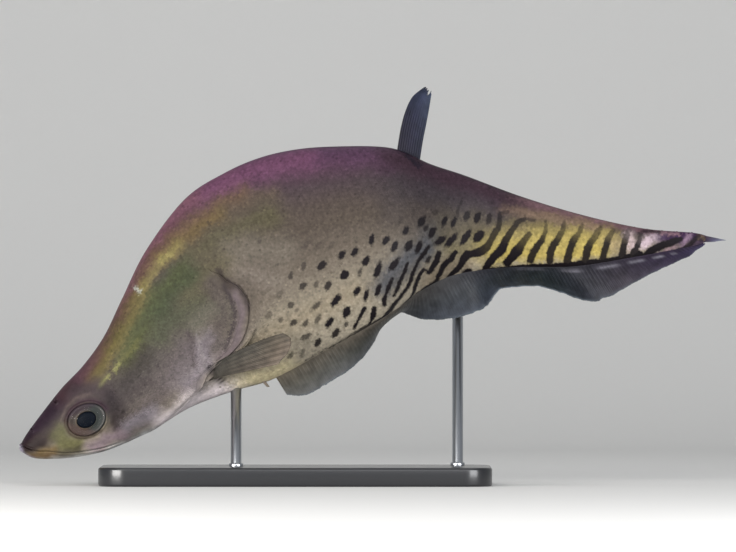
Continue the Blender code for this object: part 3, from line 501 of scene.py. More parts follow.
# Spots of the flank seen from the left: x, z, length and width in mm, turn in degrees, and how dark.
SPOTS = (
    (-33.2, 140.1, 6.7, 4.1, 46, 0.95), (-44.8, 139.7, 4.9, 2.9, 80, 0.55), (-20.4, 146.9, 6.3, 3.5, 60, 1.0),
    (-12.2, 148.8, 6.3, 3.5, 62, 1.0), (-1.4, 156.6, 6.9, 3.2, 84, 1.0), (7.7, 156.2, 6.4, 3.8, 60, 1.0),
    (13.1, 152.1, 7.8, 3.7, 62, 1.0), (20.2, 162.3, 6.2, 3.4, 65, 1.0), (-5.1, 142.8, 6.8, 3.8, 58, 1.0),
    (-8.8, 135.6, 5.0, 2.2, 74, 0.8), (2.4, 137.4, 11.4, 3.8, 72, 1.0), (12.8, 140.9, 9.6, 3.7, 52, 1.0),
    (-18.8, 134.1, 6.2, 4.7, 52, 1.0), (-29.3, 127.5, 6.0, 3.8, 60, 0.9), (-36.6, 128.2, 4.2, 2.8, 60, 0.6),
    (-45.2, 127.1, 5.1, 3.5, 50, 0.8), (-53.1, 133.3, 4.5, 2.5, 74, 0.65), (-59.9, 121.7, 5.6, 3.6, 50, 0.4),
    (-53.0, 114.8, 4.8, 3.4, 56, 0.75), (-49.2, 111.6, 3.2, 2.2, 60, 0.45), (-24.2, 117.8, 8.8, 3.8, 53, 1.0),
    (-10.9, 123.8, 6.3, 3.8, 66, 1.0), (-5.1, 120.9, 6.9, 2.8, 72, 1.0), (2.7, 124.5, 8.0, 3.1, 68, 1.0),
    (-36.9, 114.2, 7.4, 2.8, 38, 0.75), (-17.5, 110.4, 6.9, 4.7, 66, 1.0), (-67.0, 108.4, 5.6, 2.8, 50, 0.45),
    (-59.3, 105.5, 3.8, 2.8, 70, 0.6), (-51.2, 104.0, 4.8, 3.1, 52, 0.85), (-43.5, 103.3, 4.8, 2.8, 54, 0.75),
    (-35.9, 105.9, 6.3, 3.1, 67, 0.7), (-28.4, 103.8, 7.5, 3.5, 56, 1.0), (-17.7, 102.6, 3.6, 2.5, 50, 0.8),
    (-43.2, 94.9, 6.9, 3.1, 30, 0.75), (-24.4, 97.0, 6.9, 3.8, 50, 0.95), (-35.9, 91.0, 5.7, 3.1, 58, 0.95),
    (-68.3, 98.5, 3.2, 2.4, 60, 0.35), (-45.6, 84.4, 5.0, 2.3, 68, 0.55), (-53.3, 82.8, 5.0, 2.3, 44, 0.6),
    (-43.6, 152.5, 5.6, 2.6, 58, 0.3), (-35.1, 152.5, 4.8, 2.4, 60, 0.22), (-27.1, 152.9, 5.6, 2.8, 58, 0.28),
    (-72.9, 155.6, 3.7, 2.2, 88, 0.4), (16.9, 169.5, 5.0, 2.6, 70, 0.3), (25.5, 174.3, 4.6, 2.6, 62, 0.25),
    (30.3, 168.2, 7.5, 3.9, 58, 1.0), (33.2, 163.9, 4.4, 2.4, 65, 0.8), (37.1, 161.4, 7.3, 3.7, 62, 1.0),
    (22.1, 152.6, 7.3, 4.2, 60, 1.0), (28.6, 151.9, 8.6, 3.3, 66, 1.0), (42.3, 156.1, 8.4, 4.0, 39, 1.0),
    (49.5, 156.4, 10.4, 4.0, 49, 1.0), (58.6, 158.1, 11.2, 4.0, 56, 1.0), (67.1, 159.0, 8.6, 5.7, 50, 1.0),
    (44.9, 168.2, 7.4, 3.1, 66, 1.0), (51.1, 168.0, 6.8, 2.8, 62, 1.0), (59.3, 171.7, 6.4, 4.0, 62, 0.9),
    (66.1, 170.8, 7.3, 3.7, 70, 1.0), (73.6, 170.4, 6.8, 3.3, 80, 0.8), (39.4, 174.0, 4.2, 3.2, 50, 0.45),
    (34.5, 143.8, 5.2, 2.3, 66, 0.9), (-159.3, 47.1, 2.4, 2.0, 40, 0.5), (-164.9, 36.0, 3.0, 2.0, 40, 0.35),
    (-149.8, 69.3, 3.4, 1.8, 50, 0.3), (-145.8, 64.6, 2.6, 1.8, 50, 0.3), (-154.5, 66.2, 2.6, 1.6, 50, 0.3),
    (-143.4, 72.0, 2.8, 1.6, 50, 0.3), (-137.1, 77.0, 2.8, 1.6, 50, 0.25), (-148.2, 58.4, 2.4, 1.6, 50, 0.28),
)
# Dark bars: how dark the start and the rest are, and a path of x, z and width in mm.
BARS = (
    (0.8, 1.0, ((80.7, 173.4, 3.2), (79.8, 165.6, 3.8), (76.2, 159.0, 4.2), (73.2, 153.3, 4.8),
        (70.6, 150.4, 5.6), (66.6, 148.4, 5.6), (62.8, 147.6, 4.8), (59.3, 146.9, 5.4),
        (56.6, 142.8, 4.8), (54.4, 138.9, 3.8), (50.1, 135.0, 3.2), (46.2, 129.7, 2.4))),
    (0.8, 1.0, ((97.0, 169.8, 2.6), (91.8, 167.5, 3.6), (87.3, 161.0, 4.4), (84.0, 155.8, 4.8),
        (81.7, 150.6, 6.2), (77.8, 146.7, 5.6), (73.9, 142.1, 5.0), (71.3, 137.6, 4.4))),
    (0.8, 1.0, ((99.3, 160.2, 3.8), (95.1, 154.5, 5.0), (92.0, 149.9, 6.8), (88.6, 146.0, 6.0),
        (85.3, 142.1, 5.4))),
    (1.0, 1.0, ((52.1, 148.6, 3.2), (48.8, 144.1, 4.2), (44.9, 140.8, 4.0), (43.0, 136.9, 3.4),
        (41.0, 133.0, 3.2), (39.7, 129.7, 3.0), (35.2, 127.1, 2.6), (30.6, 123.9, 2.4),
        (27.3, 121.3, 2.0), (20.0, 116.4, 1.6))),
    (1.0, 1.0, ((41.3, 147.8, 3.8), (39.7, 142.8, 4.2), (37.8, 139.5, 3.4), (35.2, 135.8, 3.2),
        (31.9, 138.2, 1.6))),
    (1.0, 1.0, ((35.2, 152.5, 2.2), (31.9, 148.0, 3.0), (28.6, 143.4, 2.6), (26.7, 139.5, 2.4),
        (24.7, 135.0, 2.6), (22.8, 129.1, 2.6), (19.5, 123.9, 2.4), (16.3, 119.3, 2.2),
        (12.4, 114.8, 2.6), (10.4, 111.5, 3.0), (7.2, 108.2, 2.2), (3.2, 104.8, 2.4))),
    (1.0, 1.0, ((21.5, 141.8, 1.8), (19.5, 136.3, 2.6), (16.9, 131.0, 2.7), (15.0, 125.8, 2.6),
        (13.0, 121.3, 2.2))),
    (1.0, 1.0, ((11.7, 131.9, 2.2), (9.1, 125.8, 3.0), (7.8, 121.9, 2.2), (6.5, 118.2, 3.4),
        (6.8, 115.1, 2.6))),
    (1.0, 1.0, ((31.2, 136.9, 2.4), (28.6, 133.0, 2.4), (26.7, 127.8, 2.6), (24.7, 121.9, 2.2),
        (22.8, 118.7, 1.8), (17.6, 114.1, 1.4))),
    (1.0, 1.0, ((-6.0, 112.8, 3.0), (-8.2, 109.2, 2.7), (-10.3, 104.9, 1.9), (-12.5, 100.6, 2.6))),
    (1.0, 1.0, ((0.1, 112.8, 3.4), (-0.4, 108.7, 3.6), (-1.8, 105.0, 1.8), (-3.4, 101.6, 2.2))),
    (0.5, 0.5, ((56.0, 181.2, 1.4), (54.0, 176.6, 1.9), (53.1, 171.4, 2.2))),
    (0.6, 0.6, ((80.7, 173.4, 2.6), (85.8, 174.4, 2.2))),
    (0.6, 0.6, ((92.0, 168.6, 1.6), (97.0, 169.9, 2.0), (102.8, 168.8, 2.4))),
    (1.0, 1.0, ((61.5, 136.9, 3.0), (58.8, 135.2, 5.0), (56.0, 132.8, 3.0))),
    (1.0, 1.0, ((69.5, 136.6, 3.0), (66.8, 135.3, 4.4))),
    (0.5, 0.97, ((109.8, 168.5, 1.8), (109.8, 162.5, 3.0), (107.2, 156.2, 3.8), (102.8, 149.8, 5.0),
        (100.2, 143.7, 4.6))),
    (0.5, 0.97, ((122.1, 169.1, 1.8), (120.3, 162.0, 3.6), (116.8, 155.9, 4.4), (113.3, 149.8, 5.0),
        (112.5, 143.0, 5.0))),
    (0.5, 0.97, ((133.5, 166.2, 2.6), (130.8, 160.3, 4.0), (127.3, 155.1, 4.8), (125.1, 148.9, 5.0),
        (123.8, 142.8, 5.0))),
    (0.5, 0.97, ((144.8, 164.4, 3.0), (141.3, 158.6, 4.4), (137.8, 153.3, 4.8), (136.1, 148.1, 5.0),
        (135.2, 143.0, 5.0))),
    (0.5, 0.97, ((153.6, 162.8, 2.8), (150.1, 157.7, 4.2), (148.3, 152.4, 4.4), (146.6, 145.6, 4.6))),
    (0.5, 0.97, ((163.2, 162.6, 3.6), (161.0, 156.8, 4.2), (159.7, 151.6, 4.4), (158.8, 145.4, 5.0))),
    (0.5, 0.97, ((171.1, 162.0, 2.8), (169.8, 155.9, 3.2), (167.6, 150.7, 4.0), (165.0, 146.0, 5.0))),
    (0.9, 1.0, ((197.0, 157.4, 2.4), (192.5, 155.8, 4.2), (187.5, 154.0, 5.0), (182.5, 152.2, 5.2),
        (177.5, 149.6, 5.0), (173.7, 146.2, 4.6))),
    (0.8, 0.8, ((171.1, 161.8, 2.2), (177.0, 162.2, 2.0), (183.0, 161.0, 1.8))),
    (0.75, 0.85, ((208.0, 159.0, 2.6), (205.4, 157.0, 3.4), (202.4, 153.6, 3.2), (198.6, 151.0, 3.0),
        (192.1, 148.6, 2.4))),
    (0.6, 0.6, ((212.0, 157.8, 2.0), (208.5, 156.5, 2.4))),
    (1.0, 1.0, ((68.4, 136.2, 3.0), (78.0, 137.6, 3.0), (86.0, 138.4, 3.2), (93.2, 139.0, 3.6),
        (106.3, 139.4, 4.0), (122.1, 140.3, 4.0), (134.3, 141.4, 4.4), (147.5, 142.8, 4.4),
        (159.7, 144.8, 4.8), (170.2, 147.6, 4.4))),
    (0.9, 0.9, ((-44.1, 79.4, 0.9), (-33.7, 85.3, 1.3), (-23.2, 90.5, 1.5), (-14.2, 96.0, 1.3),
        (-8.8, 98.8, 2.2), (-3.0, 101.9, 2.2), (3.4, 105.5, 1.4))),
)
MARGIN = 3.0  # mm from a marking's edge past which the distance to it no longer counts
BAR_REACH = MARGIN + 4.0  # mm from the middle of a bar, for the widest
SPOT_SPREAD = 0.2  # mm that each spot's edge lies outside the oval of its table


def smoothed(path):
    """A bar's path drawn as a smooth line, four steps to each of its own."""
    points = np.array(path)
    points = np.concatenate([2 * points[:1] - points[1:2], points, 2 * points[-1:] - points[-2:-1]])
    fours = zip(points[:-3], points[1:-2], points[2:-1], points[3:])
    return np.array([spline(*four, u) for four in fours for u in (0.0, 0.25, 0.5, 0.75)] + [points[-2]])


def markings(x, z):
    """Distance from the edge of the nearest dark marking in mm, less than 0 inside, and its strength."""
    x, z = x / MM, z / MM
    best = np.full(x.shape, MARGIN)
    ink = np.ones(x.shape)
    for cx, cz, length, width, turn, strength in SPOTS:
        near = np.hypot(x - cx, z - cz) < length + MARGIN
        dx, dz = x[near] - cx, z[near] - cz
        c, s = math.cos(math.radians(turn)), math.sin(math.radians(turn))
        u, v = (dx * c + dz * s) / (length / 2), (dz * c - dx * s) / (width / 2)
        away = (np.hypot(u, v) - 1) * width / 2 - SPOT_SPREAD
        closer = away < best[near]
        best[near] = np.where(closer, away, best[near])
        ink[near] = np.where(closer, strength, ink[near])
    for first, rest, path in BARS:
        line = smoothed(path)
        low, high = line.min(0) - BAR_REACH, line.max(0) + BAR_REACH
        near = (x > low[0]) & (x < high[0]) & (z > low[1]) & (z < high[1])
        px, pz = x[near], z[near]
        away = np.full(px.shape, 1e3)
        strength = np.full(px.shape, rest)
        for i, (a, b) in enumerate(zip(line[:-1], line[1:])):
            u, off_x, off_z = beside(a[:2], b[:2], px, pz)
            far = np.hypot(off_x, off_z) - (a[2] + (b[2] - a[2]) * u) / 2
            faded = first + (rest - first) * min(1.0, 2.2 * i / len(line))
            strength = np.where(far < away, faded, strength)
            away = np.minimum(away, far)
        ink[near] = np.where(away < best[near], strength, ink[near])
        best[near] = np.minimum(best[near], away)
    wobble = 0.3 * np.sin(x / 1.3 + 2.0 * np.sin(z / 1.7)) * np.sin(z / 1.1 + 1.5 * np.sin(x / 2.1))
    return best + wobble, ink


# Pigment of the flank from back to belly, as (share, colour).
FLANK_COLOURS = (
    (0.0, "#583f55"), (0.05, "#5d3d52"), (0.12, "#533e4a"), (0.18, "#4e4145"), (0.27, "#564b45"),
    (0.36, "#594f46"), (0.42, "#61574e"), (0.5, "#6e6459"), (0.585, "#807669"), (0.68, "#958b7a"),
    (0.76, "#9e927d"), (0.88, "#a99f8c"), (1.0, "#b5ab98"),
)
PIGMENT_DEPTH = 0.62
# Tints laid over it as with an airbrush, some of them painted shade, shadow, highlights and reflection:
# colour, strength, half the width in mm, and a path in mm.
TINTS_AND_PAINTED_LIGHT = (
    # rear of the back
    ("#403a41", 0.80, 11, ((20, 190), (42, 184), (66, 180), (84, 177))),
    ("#463d40", 0.60, 10, ((0, 192), (16, 186))),
    ("#4e4541", 0.60, 9, ((12, 172), (34, 170))),
    # blue-grey patch among the bars: a painted reflection of blue surroundings where the flank turns away
    ("#4e525c", 0.85, 8, ((6, 128), (18, 140), (30, 149), (38, 157))),
    ("#5f5749", 0.80, 8, ((44, 163), (60, 165), (72, 162))),
    ("#7b7255", 0.85, 7, ((50, 150), (62, 153), (76, 154))),
    ("#8a7c68", 0.80, 5, ((34, 129), (48, 139), (58, 141))),
    # yellow of the tail
    ("#b9a760", 0.95, 8.5, ((76, 149), (92, 154.5), (120, 156.5), (146, 155))),
    ("#ceb85f", 0.70, 4, ((86, 147), (106, 147), (128, 148), (144, 150))),
    ("#86705e", 0.80, 3.2, ((84, 176), (110, 172), (140, 166.5))),
    ("#7b5f62", 0.85, 2.6, ((88, 184), (120, 176), (150, 168.8), (176, 164), (196, 162))),
    ("#b3a078", 0.80, 3.5, ((150, 154), (158, 152))),
    ("#d2bcbc", 0.95, 3.0, ((163.5, 159), (165.5, 151))),
    ("#dcc6cf", 0.95, 2.6, ((172.5, 154), (178, 156.6), (184, 158.6))),
    ("#341d42", 0.95, 5, ((186, 158), (200, 158), (212, 158))),
    ("#9a8096", 0.90, 1.2, ((202.4, 160.0), (200.6, 157.6), (197.0, 153.2))),
    ("#43324a", 0.90, 2.2, ((180, 146.6), (190, 148.8), (202, 152.0), (211, 154.6))),
    ("#957c82", 0.90, 1.0, ((192.5, 152.4), (186.0, 149.6))),
    ("#8a745c", 0.80, 1.4, ((209, 158.6), (213, 157))),
    ("#96767f", 0.70, 1.0, ((180, 162.0), (188, 160.9), (196, 160.2))),
    # side of the head
    ("#544e4b", 0.85, 11, ((-166, 52), (-152, 66), (-142, 78))),
    ("#635a5b", 0.85, 11, ((-152, 42), (-138, 56), (-128, 72), (-122, 86))),
    ("#837a81", 0.85, 8, ((-118, 64), (-109, 76), (-106, 90))),
    # nape: olive and dark green
    ("#51542e", 0.90, 9, ((-156, 84), (-150, 98), (-144, 110))),
    ("#515441", 0.85, 8, ((-138, 96), (-124, 108), (-114, 118))),
    ("#615a44", 0.85, 8, ((-120, 124), (-108, 134), (-96, 142))),
    ("#5b563e", 0.80, 8, ((-118, 146), (-104, 156), (-88, 164), (-66, 172))),
    ("#414a34", 0.85, 6.5, ((-138, 112), (-128, 125), (-118, 134))),
    ("#6b685b", 0.80, 6, ((-112, 104), (-104, 112), (-96, 112))),
    # red rim of the back
    ("#5c4049", 0.90, 4.2, ((-206, 52), (-191, 68), (-176, 88), (-164, 112))),
    ("#7c5563", 0.95, 5.5, ((-163, 116), (-153, 138), (-142, 156), (-129, 172), (-112, 186), (-92, 197))),
    ("#714a64", 0.90, 7, ((-104, 190), (-86, 199), (-66, 204), (-40, 209))),
    ("#583f55", 0.80, 7, ((-30, 211), (-6, 211), (10, 208))),
    ("#402f38", 0.85, 8, ((10, 209), (36, 202), (64, 193), (88, 184))),
    ("#6a5443", 0.80, 4.5,
     ((-181, 69), (-170, 88), (-160, 110), (-149, 131), (-136, 151), (-121, 165), (-104, 176), (-84, 186))),
    ("#705e3a", 0.80, 4.2, ((-134, 145), (-122, 156), (-111, 165), (-98, 173))),
    ("#665a44", 0.45, 5.0, ((-96, 174), (-84, 180), (-66, 186))),
    ("#4a5030", 0.85, 6.0, ((-161, 91), (-153, 103), (-145, 114), (-136, 125), (-124, 137))),
    ("#71663b", 0.80, 3.8, ((-175, 71), (-167, 85), (-158, 101), (-151, 116), (-146, 126))),
    ("#8a7f4f", 0.72, 2.8, ((-148, 124), (-141, 136), (-132, 147), (-124, 153))),
    # painted highlights: gold glints along the streak, and one white glint
    ("#a0965e", 0.40, 1.6, ((-136, 142), (-130, 147.5))),
    ("#9f9d62", 0.70, 1.1, ((-175, 62.5), (-169, 69.5))),
    ("#9f9d62", 0.70, 1.2, ((-165, 73.5), (-162, 77.5))),
    ("#7f7c4c", 0.45, 2.0, ((-160, 81), (-151, 91))),
    ("#c9cdc4", 0.80, 0.8, ((-153.0, 126.3), (-148.5, 123.4))),
    ("#402e30", 0.80, 5, ((-206, 52), (-192, 62))),
    # over and behind the eye
    ("#44383c", 0.85, 5, ((-190, 60), (-178, 62), (-168, 57))),
    ("#2e2629", 0.85, 6, ((-168, 54), (-164, 44), (-164, 38))),
    # snout
    ("#30232e", 0.95, 7, ((-226, 28), (-214, 38), (-204, 48))),
    ("#312122", 0.85, 4.5, ((-222, 24), (-212, 26), (-204, 34))),
    # painted shade under the orbit's upper rim, and a painted highlight along the rim
    ("#42303a", 0.80, 1.7,
     ((-170.4, 49.0), (-175.1, 53.2), (-180.9, 54.6), (-187.3, 52.8), (-193.2, 47.8), (-195.6, 41.5))),
    ("#7c6a65", 0.28, 0.8, ((-181.0, 58.2), (-189.8, 55.6), (-196.4, 49.6), (-199.0, 41.5))),
    # green and pale skin below it
    ("#696747", 0.95, 4.6, ((-200, 33.5), (-197.5, 27.5), (-190, 25))),
    ("#827e57", 0.70, 2.6, ((-198, 24.5), (-192, 25.5), (-187, 27))),
    ("#a28f96", 0.90, 4, ((-179, 24.5), (-170, 28.5), (-160, 33))),
    # chin and lips
    ("#7f6542", 0.90, 2.0, ((-219, 18.5), (-210, 18.5), (-204, 20))),
    # painted highlight: a white lit edge along the lower jaw and throat
    ("#ffffff", 0.95, 2.2,
     ((-204, 15.4), (-188, 16.4), (-172, 20.0), (-158, 25.6), (-144, 32.4), (-128, 41), (-116, 49))),
    ("#575040", 0.80, 3.0, ((-200, 20.5), (-188, 21.5))),
    ("#7c6640", 0.75, 1.9, ((-213, 21.0), (-203, 23.2))),
    ("#2c2120", 0.85, 2.8, ((-219, 25), (-211, 26.5))),
    ("#43352c", 0.75, 1.1,
     ((-196.4, 41), (-195.8, 36.8), (-193.2, 32.6), (-189, 30.6), (-184.4, 30.6), (-178.6, 32.6),
      (-174.4, 35))),
    ("#8b8389", 0.90, 4.0, ((-156, 38), (-148, 42), (-140, 46))),
    ("#b4acc0", 0.80, 1.2, ((-226, 25), (-224, 20), (-217, 16))),
    # dark clouds behind the eye
    ("#3b3434", 0.70, 5, ((-160, 66), (-152, 74), (-146, 82))),
    ("#433a3b", 0.55, 4, ((-162, 52), (-154, 60), (-143, 66))),
    # throat
    ("#fff2f4", 0.95, 4.6, ((-136, 39), (-127, 44.5), (-112, 55), (-98, 60), (-84, 62))),
    # gill cover and its flap
    ("#5c534e", 0.85, 5.0, ((-102, 129), (-97, 119), (-95.5, 108), (-97, 97), (-99.5, 89))),
    ("#76696b", 0.95, 2.9,
     ((-88.5, 123), (-84.8, 115), (-84.2, 105), (-86.4, 95.6), (-90.6, 86), (-97, 81))),
    ("#3f3739", 0.85, 1.2,
     ((-95.8, 127.3), (-90.6, 118.5), (-88.6, 110.6), (-89.0, 102.7), (-92.0, 93.1), (-95.0, 86.8))),
    # painted shadow under the flap's upper rim
    ("#4a4040", 0.85, 1.2, ((-93, 131), (-87, 126.5), (-82.5, 120.6), (-80.0, 113))),
    ("#3a312f", 0.80, 1.7, ((-99, 137), (-95, 130), (-91, 126))),
    # painted shade in the crease ahead of the cheek fold, and a painted highlight along the fold
    ("#554b4c", 0.70, 1.8, ((-117.6, 97), (-115.4, 87), (-114.6, 77))),
    ("#978e8d", 0.50, 0.8, ((-113, 97), (-110.4, 88), (-107.9, 80), (-107.6, 72))),
    # painted shadow in the axil behind the root of the breast fin
    ("#1f1b20", 0.95, 2.0, ((-104.5, 75), (-101, 70.5), (-97.5, 66.5))),
    # belly
    ("#e6d8ac", 0.75, 6, ((-84, 64), (-70, 69), (-56, 75))),
    # flank behind the gill cover
    ("#7c7468", 0.65, 8, ((-88, 150), (-74, 150), (-58, 149))),
    ("#8f857a", 0.45, 6, ((-84, 136), (-74, 133), (-62, 131))),
    # painted shadow at the foot of the back fin
    ("#241f2c", 0.85, 1.6, ((16, 215), (24, 208), (29, 204))),
)


def colours_at(table, at, column=1):
    """The colours of a table's column at the places given, mixed between its rows."""
    places = [row[0] for row in table]
    codes = np.array([hex_colour(row[column]) for row in table])
    return np.stack([np.interp(at, places, codes[:, k]) for k in range(3)], axis=-1)


def laid_over(colour, code, weight):
    """A colour with another laid over it, as thickly as the weight says."""
    return colour * (1 - weight) + hex_colour(code) * weight


def ground(t, x, z):
    """The skin's colour without its dark markings, with the painted shade, highlights and reflection of the
    tints.
    """
    colour = colours_at(FLANK_COLOURS, t)
    a, b = x / MM, z / MM
    drift_x = 1.1 * np.sin(b / 3.1 + 1.7 * np.sin(a / 5.3)) + 0.5 * np.sin(a / 1.3 - b / 1.9)
    drift_z = 1.1 * np.sin(a / 3.7 + 1.4 * np.sin(b / 4.9)) + 0.5 * np.sin(b / 1.1 + a / 2.3)
    for code, strength, half, path in TINTS_AND_PAINTED_LIGHT:
        ends = np.array(path)
        near = (a > ends[:, 0].min() - 2.6 * half) & (a < ends[:, 0].max() + 2.6 * half)
        near &= (b > ends[:, 1].min() - 2.6 * half) & (b < ends[:, 1].max() + 2.6 * half)
        sway = min(1.0, half / 5) * MM
        away, _, _ = from_path(path, x[near] + sway * drift_x[near], z[near] + sway * drift_z[near])
        weight = 0.5 ** ((away / (half * MM)) ** 2)
        weight = (strength * np.clip((weight - 0.02) / 0.98, 0.0, 1.0))[..., None]
        colour[near] = laid_over(colour[near], code, weight)
    return colour * PIGMENT_DEPTH


def store_colour(mesh, colour):
    """Keeps a colour at each point of a mesh, for its material to read."""
    colour = np.concatenate([colour, np.ones((len(colour), 1))], axis=1).astype(np.float32)
    mesh.attributes.new("ground", "FLOAT_COLOR", "POINT").data.foreach_set("color", colour.ravel())


def paint(mesh, s, t, shift=(0.0, 0.0)):
    """Gives the mesh's points the fish's colours and markings. Both flanks carry the left one's."""
    flat = bare(s, t, -1)
    away, ink = markings(flat[:, 0], flat[:, 2])
    store_colour(mesh, ground(t, flat[:, 0] + shift[0], flat[:, 2] + shift[1]))
    for name, values in (("mark", away), ("ink", ink), ("tone", np.ones(len(s)))):
        mesh.attributes.new(name, "FLOAT", "POINT").data.foreach_set("value", values.astype(np.float32))


def add_node(tree, kind, settings=None, inputs=None):
    """Adds a shader node, with its settings, and with its inputs linked or set."""
    made = tree.nodes.new("ShaderNode" + kind)
    for name, value in (settings or {}).items():
        setattr(made, name, value)
    for socket, value in (inputs or {}).items():
        if isinstance(value, bpy.types.NodeSocket):
            tree.links.new(value, made.inputs[socket])
        else:
            made.inputs[socket].default_value = value
    return made


def new_material(name, roughness, code=None, **values):
    """A named material with one Principled shader, whose even values are set on its own sockets."""
    material = bpy.data.materials.new(name)
    material.use_nodes = True
    shader = material.node_tree.nodes["Principled BSDF"]
    shader.inputs["Roughness"].default_value = roughness
    if code:
        shader.inputs["Base Color"].default_value = (*hex_colour(code), 1.0)
    for socket, value in values.items():
        shader.inputs[socket.replace("_", " ")].default_value = value
    return material, material.node_tree, shader


MULTIPLY = {"data_type": "RGBA", "blend_type": "MULTIPLY"}


def clouded(tree, colour, place, low, high, **noise):
    """A colour made darker and lighter in clouds, between the two shares given."""
    cloud = add_node(tree, "TexNoise", None, {"Vector": place.outputs["Object"], **noise})
    cloud = add_node(tree, "MapRange", None, {"Value": cloud.outputs["Fac"], 1: 0.3, 2: 0.7, 3: low, 4: high})
    return add_node(tree, "Mix", MULTIPLY, {0: 1.0, 6: colour.outputs[0], 7: cloud.outputs[0]}).outputs[2]


def roughened(tree, shader, vector, strength, height, **noise):
    """Gives a material a fine relief, whose height is in mm."""
    pattern = add_node(tree, "TexNoise", None, {"Vector": vector, **noise})
    inputs = {"Height": pattern.outputs["Fac"], "Strength": strength, "Distance": height * MM}
    bump = add_node(tree, "Bump", None, inputs)
    tree.links.new(bump.outputs[0], shader.inputs["Normal"])


# Wet fish skin: pigment in cloudy spots under a thin clear slime, with ragged dark markings. The real
# grain is finer than a picture shows, so it is drawn at about 0.7 mm.
DARK_MARK = "#141013"
wet_skin, tree, shader = new_material(
    "wet_fish_skin", 0.45, Specular_IOR_Level=0.10, Coat_Weight=0.02, Coat_Roughness=0.3
)
place = add_node(tree, "TexCoord")
ground_colour = add_node(tree, "Attribute", {"attribute_name": "ground"})
shaded = clouded(tree, ground_colour, place, 0.76, 1.24, Scale=330.0, Detail=5.0, Roughness=0.7)
tone = add_node(tree, "Attribute", {"attribute_name": "tone"})
toned = add_node(tree, "Mix", MULTIPLY, {0: 1.0, 6: shaded, 7: tone.outputs["Fac"]})
mark = add_node(tree, "Attribute", {"attribute_name": "mark"})
ink = add_node(tree, "Attribute", {"attribute_name": "ink"})
wander = add_node(tree, "TexNoise", None, {"Vector": place.outputs["Object"], "Scale": 700.0, "Detail": 2.0})
ragged = add_node(tree, "MapRange", None, {"Value": wander.outputs["Fac"], 1: 0.3, 2: 0.7, 3: -0.3, 4: 0.3})
rim = add_node(tree, "Math", {"operation": "ADD"}, {0: mark.outputs["Fac"], 1: ragged.outputs[0]})
inside = add_node(tree, "MapRange", None, {"Value": rim.outputs[0], 1: -0.5, 2: 0.45, 3: 1.0, 4: 0.0})
dark = add_node(tree, "Math", {"operation": "MULTIPLY"}, {0: inside.outputs[0], 1: ink.outputs["Fac"]})
marked = add_node(
    tree, "Mix", {"data_type": "RGBA"},
    {0: dark.outputs[0], 6: toned.outputs[2], 7: (*hex_colour(DARK_MARK), 1.0)},
)
tree.links.new(marked.outputs[2], shader.inputs["Base Color"])
roughened(tree, shader, place.outputs["Object"], 0.25, 0.15, Scale=1400.0, Detail=3.0)


def put_in_scene(name, data):
    """Makes an object of a mesh, lamp or camera, at the origin."""
    thing = bpy.data.objects.new(name, data)
    bpy.context.scene.collection.objects.link(thing)
    return thing


# The skin's mesh: doubled points are sewn together, and each keeps its place on the section lines.
mesh = bpy.data.meshes.new("skin")
mesh.from_pydata([tuple(p) for p in sheet.points], [], sheet.faces)
bm = bmesh.new()
bm.from_mesh(mesh)
number = bm.verts.layers.int.new("number")
for i, vert in enumerate(bm.verts):
    vert[number] = i
bmesh.ops.remove_doubles(bm, verts=bm.verts, dist=0.002 * MM)
bmesh.ops.dissolve_degenerate(bm, edges=bm.edges, dist=0.001 * MM)
# The two flanks differ by a hair at the snout, and what that leaves open is filled.
bmesh.ops.holes_fill(bm, edges=[edge for edge in bm.edges if edge.is_boundary], sides=0)
bmesh.ops.recalc_face_normals(bm, faces=bm.faces)
kept = [vert[number] for vert in bm.verts]
bm.to_mesh(mesh)
bm.free()
mesh.attributes.remove(mesh.attributes["number"])
mesh.shade_smooth()
paint(mesh, np.array(sheet.s)[kept], np.array(sheet.t)[kept])
mesh.materials.append(wet_skin)
skin = put_in_scene("skin", mesh)
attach(skin, "root")
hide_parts("head", "lower_jaw", "left_gill_cover", "right_gill_cover", "trunk", "tail")

# Scales. Small thin plates of bone set in the skin like roof slates, each with its rear edge raised.
# They lie in rows beside the lateral line, are finer on the gill cover and the cheek, and stop short
# of the face, the soft rim of the gill flap and the throat.
LATERAL_LINE = (
    (0.0, 0.30), (7.0, 0.315), (8.0, 0.337), (10.0, 0.36), (12.0, 0.38), (15.0, 0.42), (21.0, 0.5),
)
PLATE = (
    # places along and across as shares of the scale's length and width, and height in mm
    (-0.48, 0.22, -0.08), (0.02, 0.5, -0.01), (0.36, 0.36, 0.05), (0.5, 0.0, 0.08),
    (0.36, -0.36, 0.05), (0.02, -0.5, -0.01), (-0.48, -0.22, -0.08),
)
PLATE_TOP, PLATE_FOOT = (0.06, 0.0, 0.09), (0.0, 0.0, -0.12)
SCALE_LONG, SCALE_WIDE = 1.36, 1.22  # as shares of the step and the row gap, so that they overlap
PATCH = 0.003 * 0.98  # size of each scale's patch on the unwrap
AREAS = (
    # first and last section line, the line at which rows are set out, and row gap and step in mm
    ("body", 3.9, 20.93, 12.0, 1.5, 1.75),
    ("gill_cover", 4.6, 8.2, 7.0, 1.0, 1.2),
)
TOP_ROW, LOW_ROW = 0.012, 0.985
FACE_END = -172  # x in mm ahead of which the skin is bare
EYE_CLEAR = 19
BREAST_FIN_CLEAR = (-100.0, 69.0, 6.5)


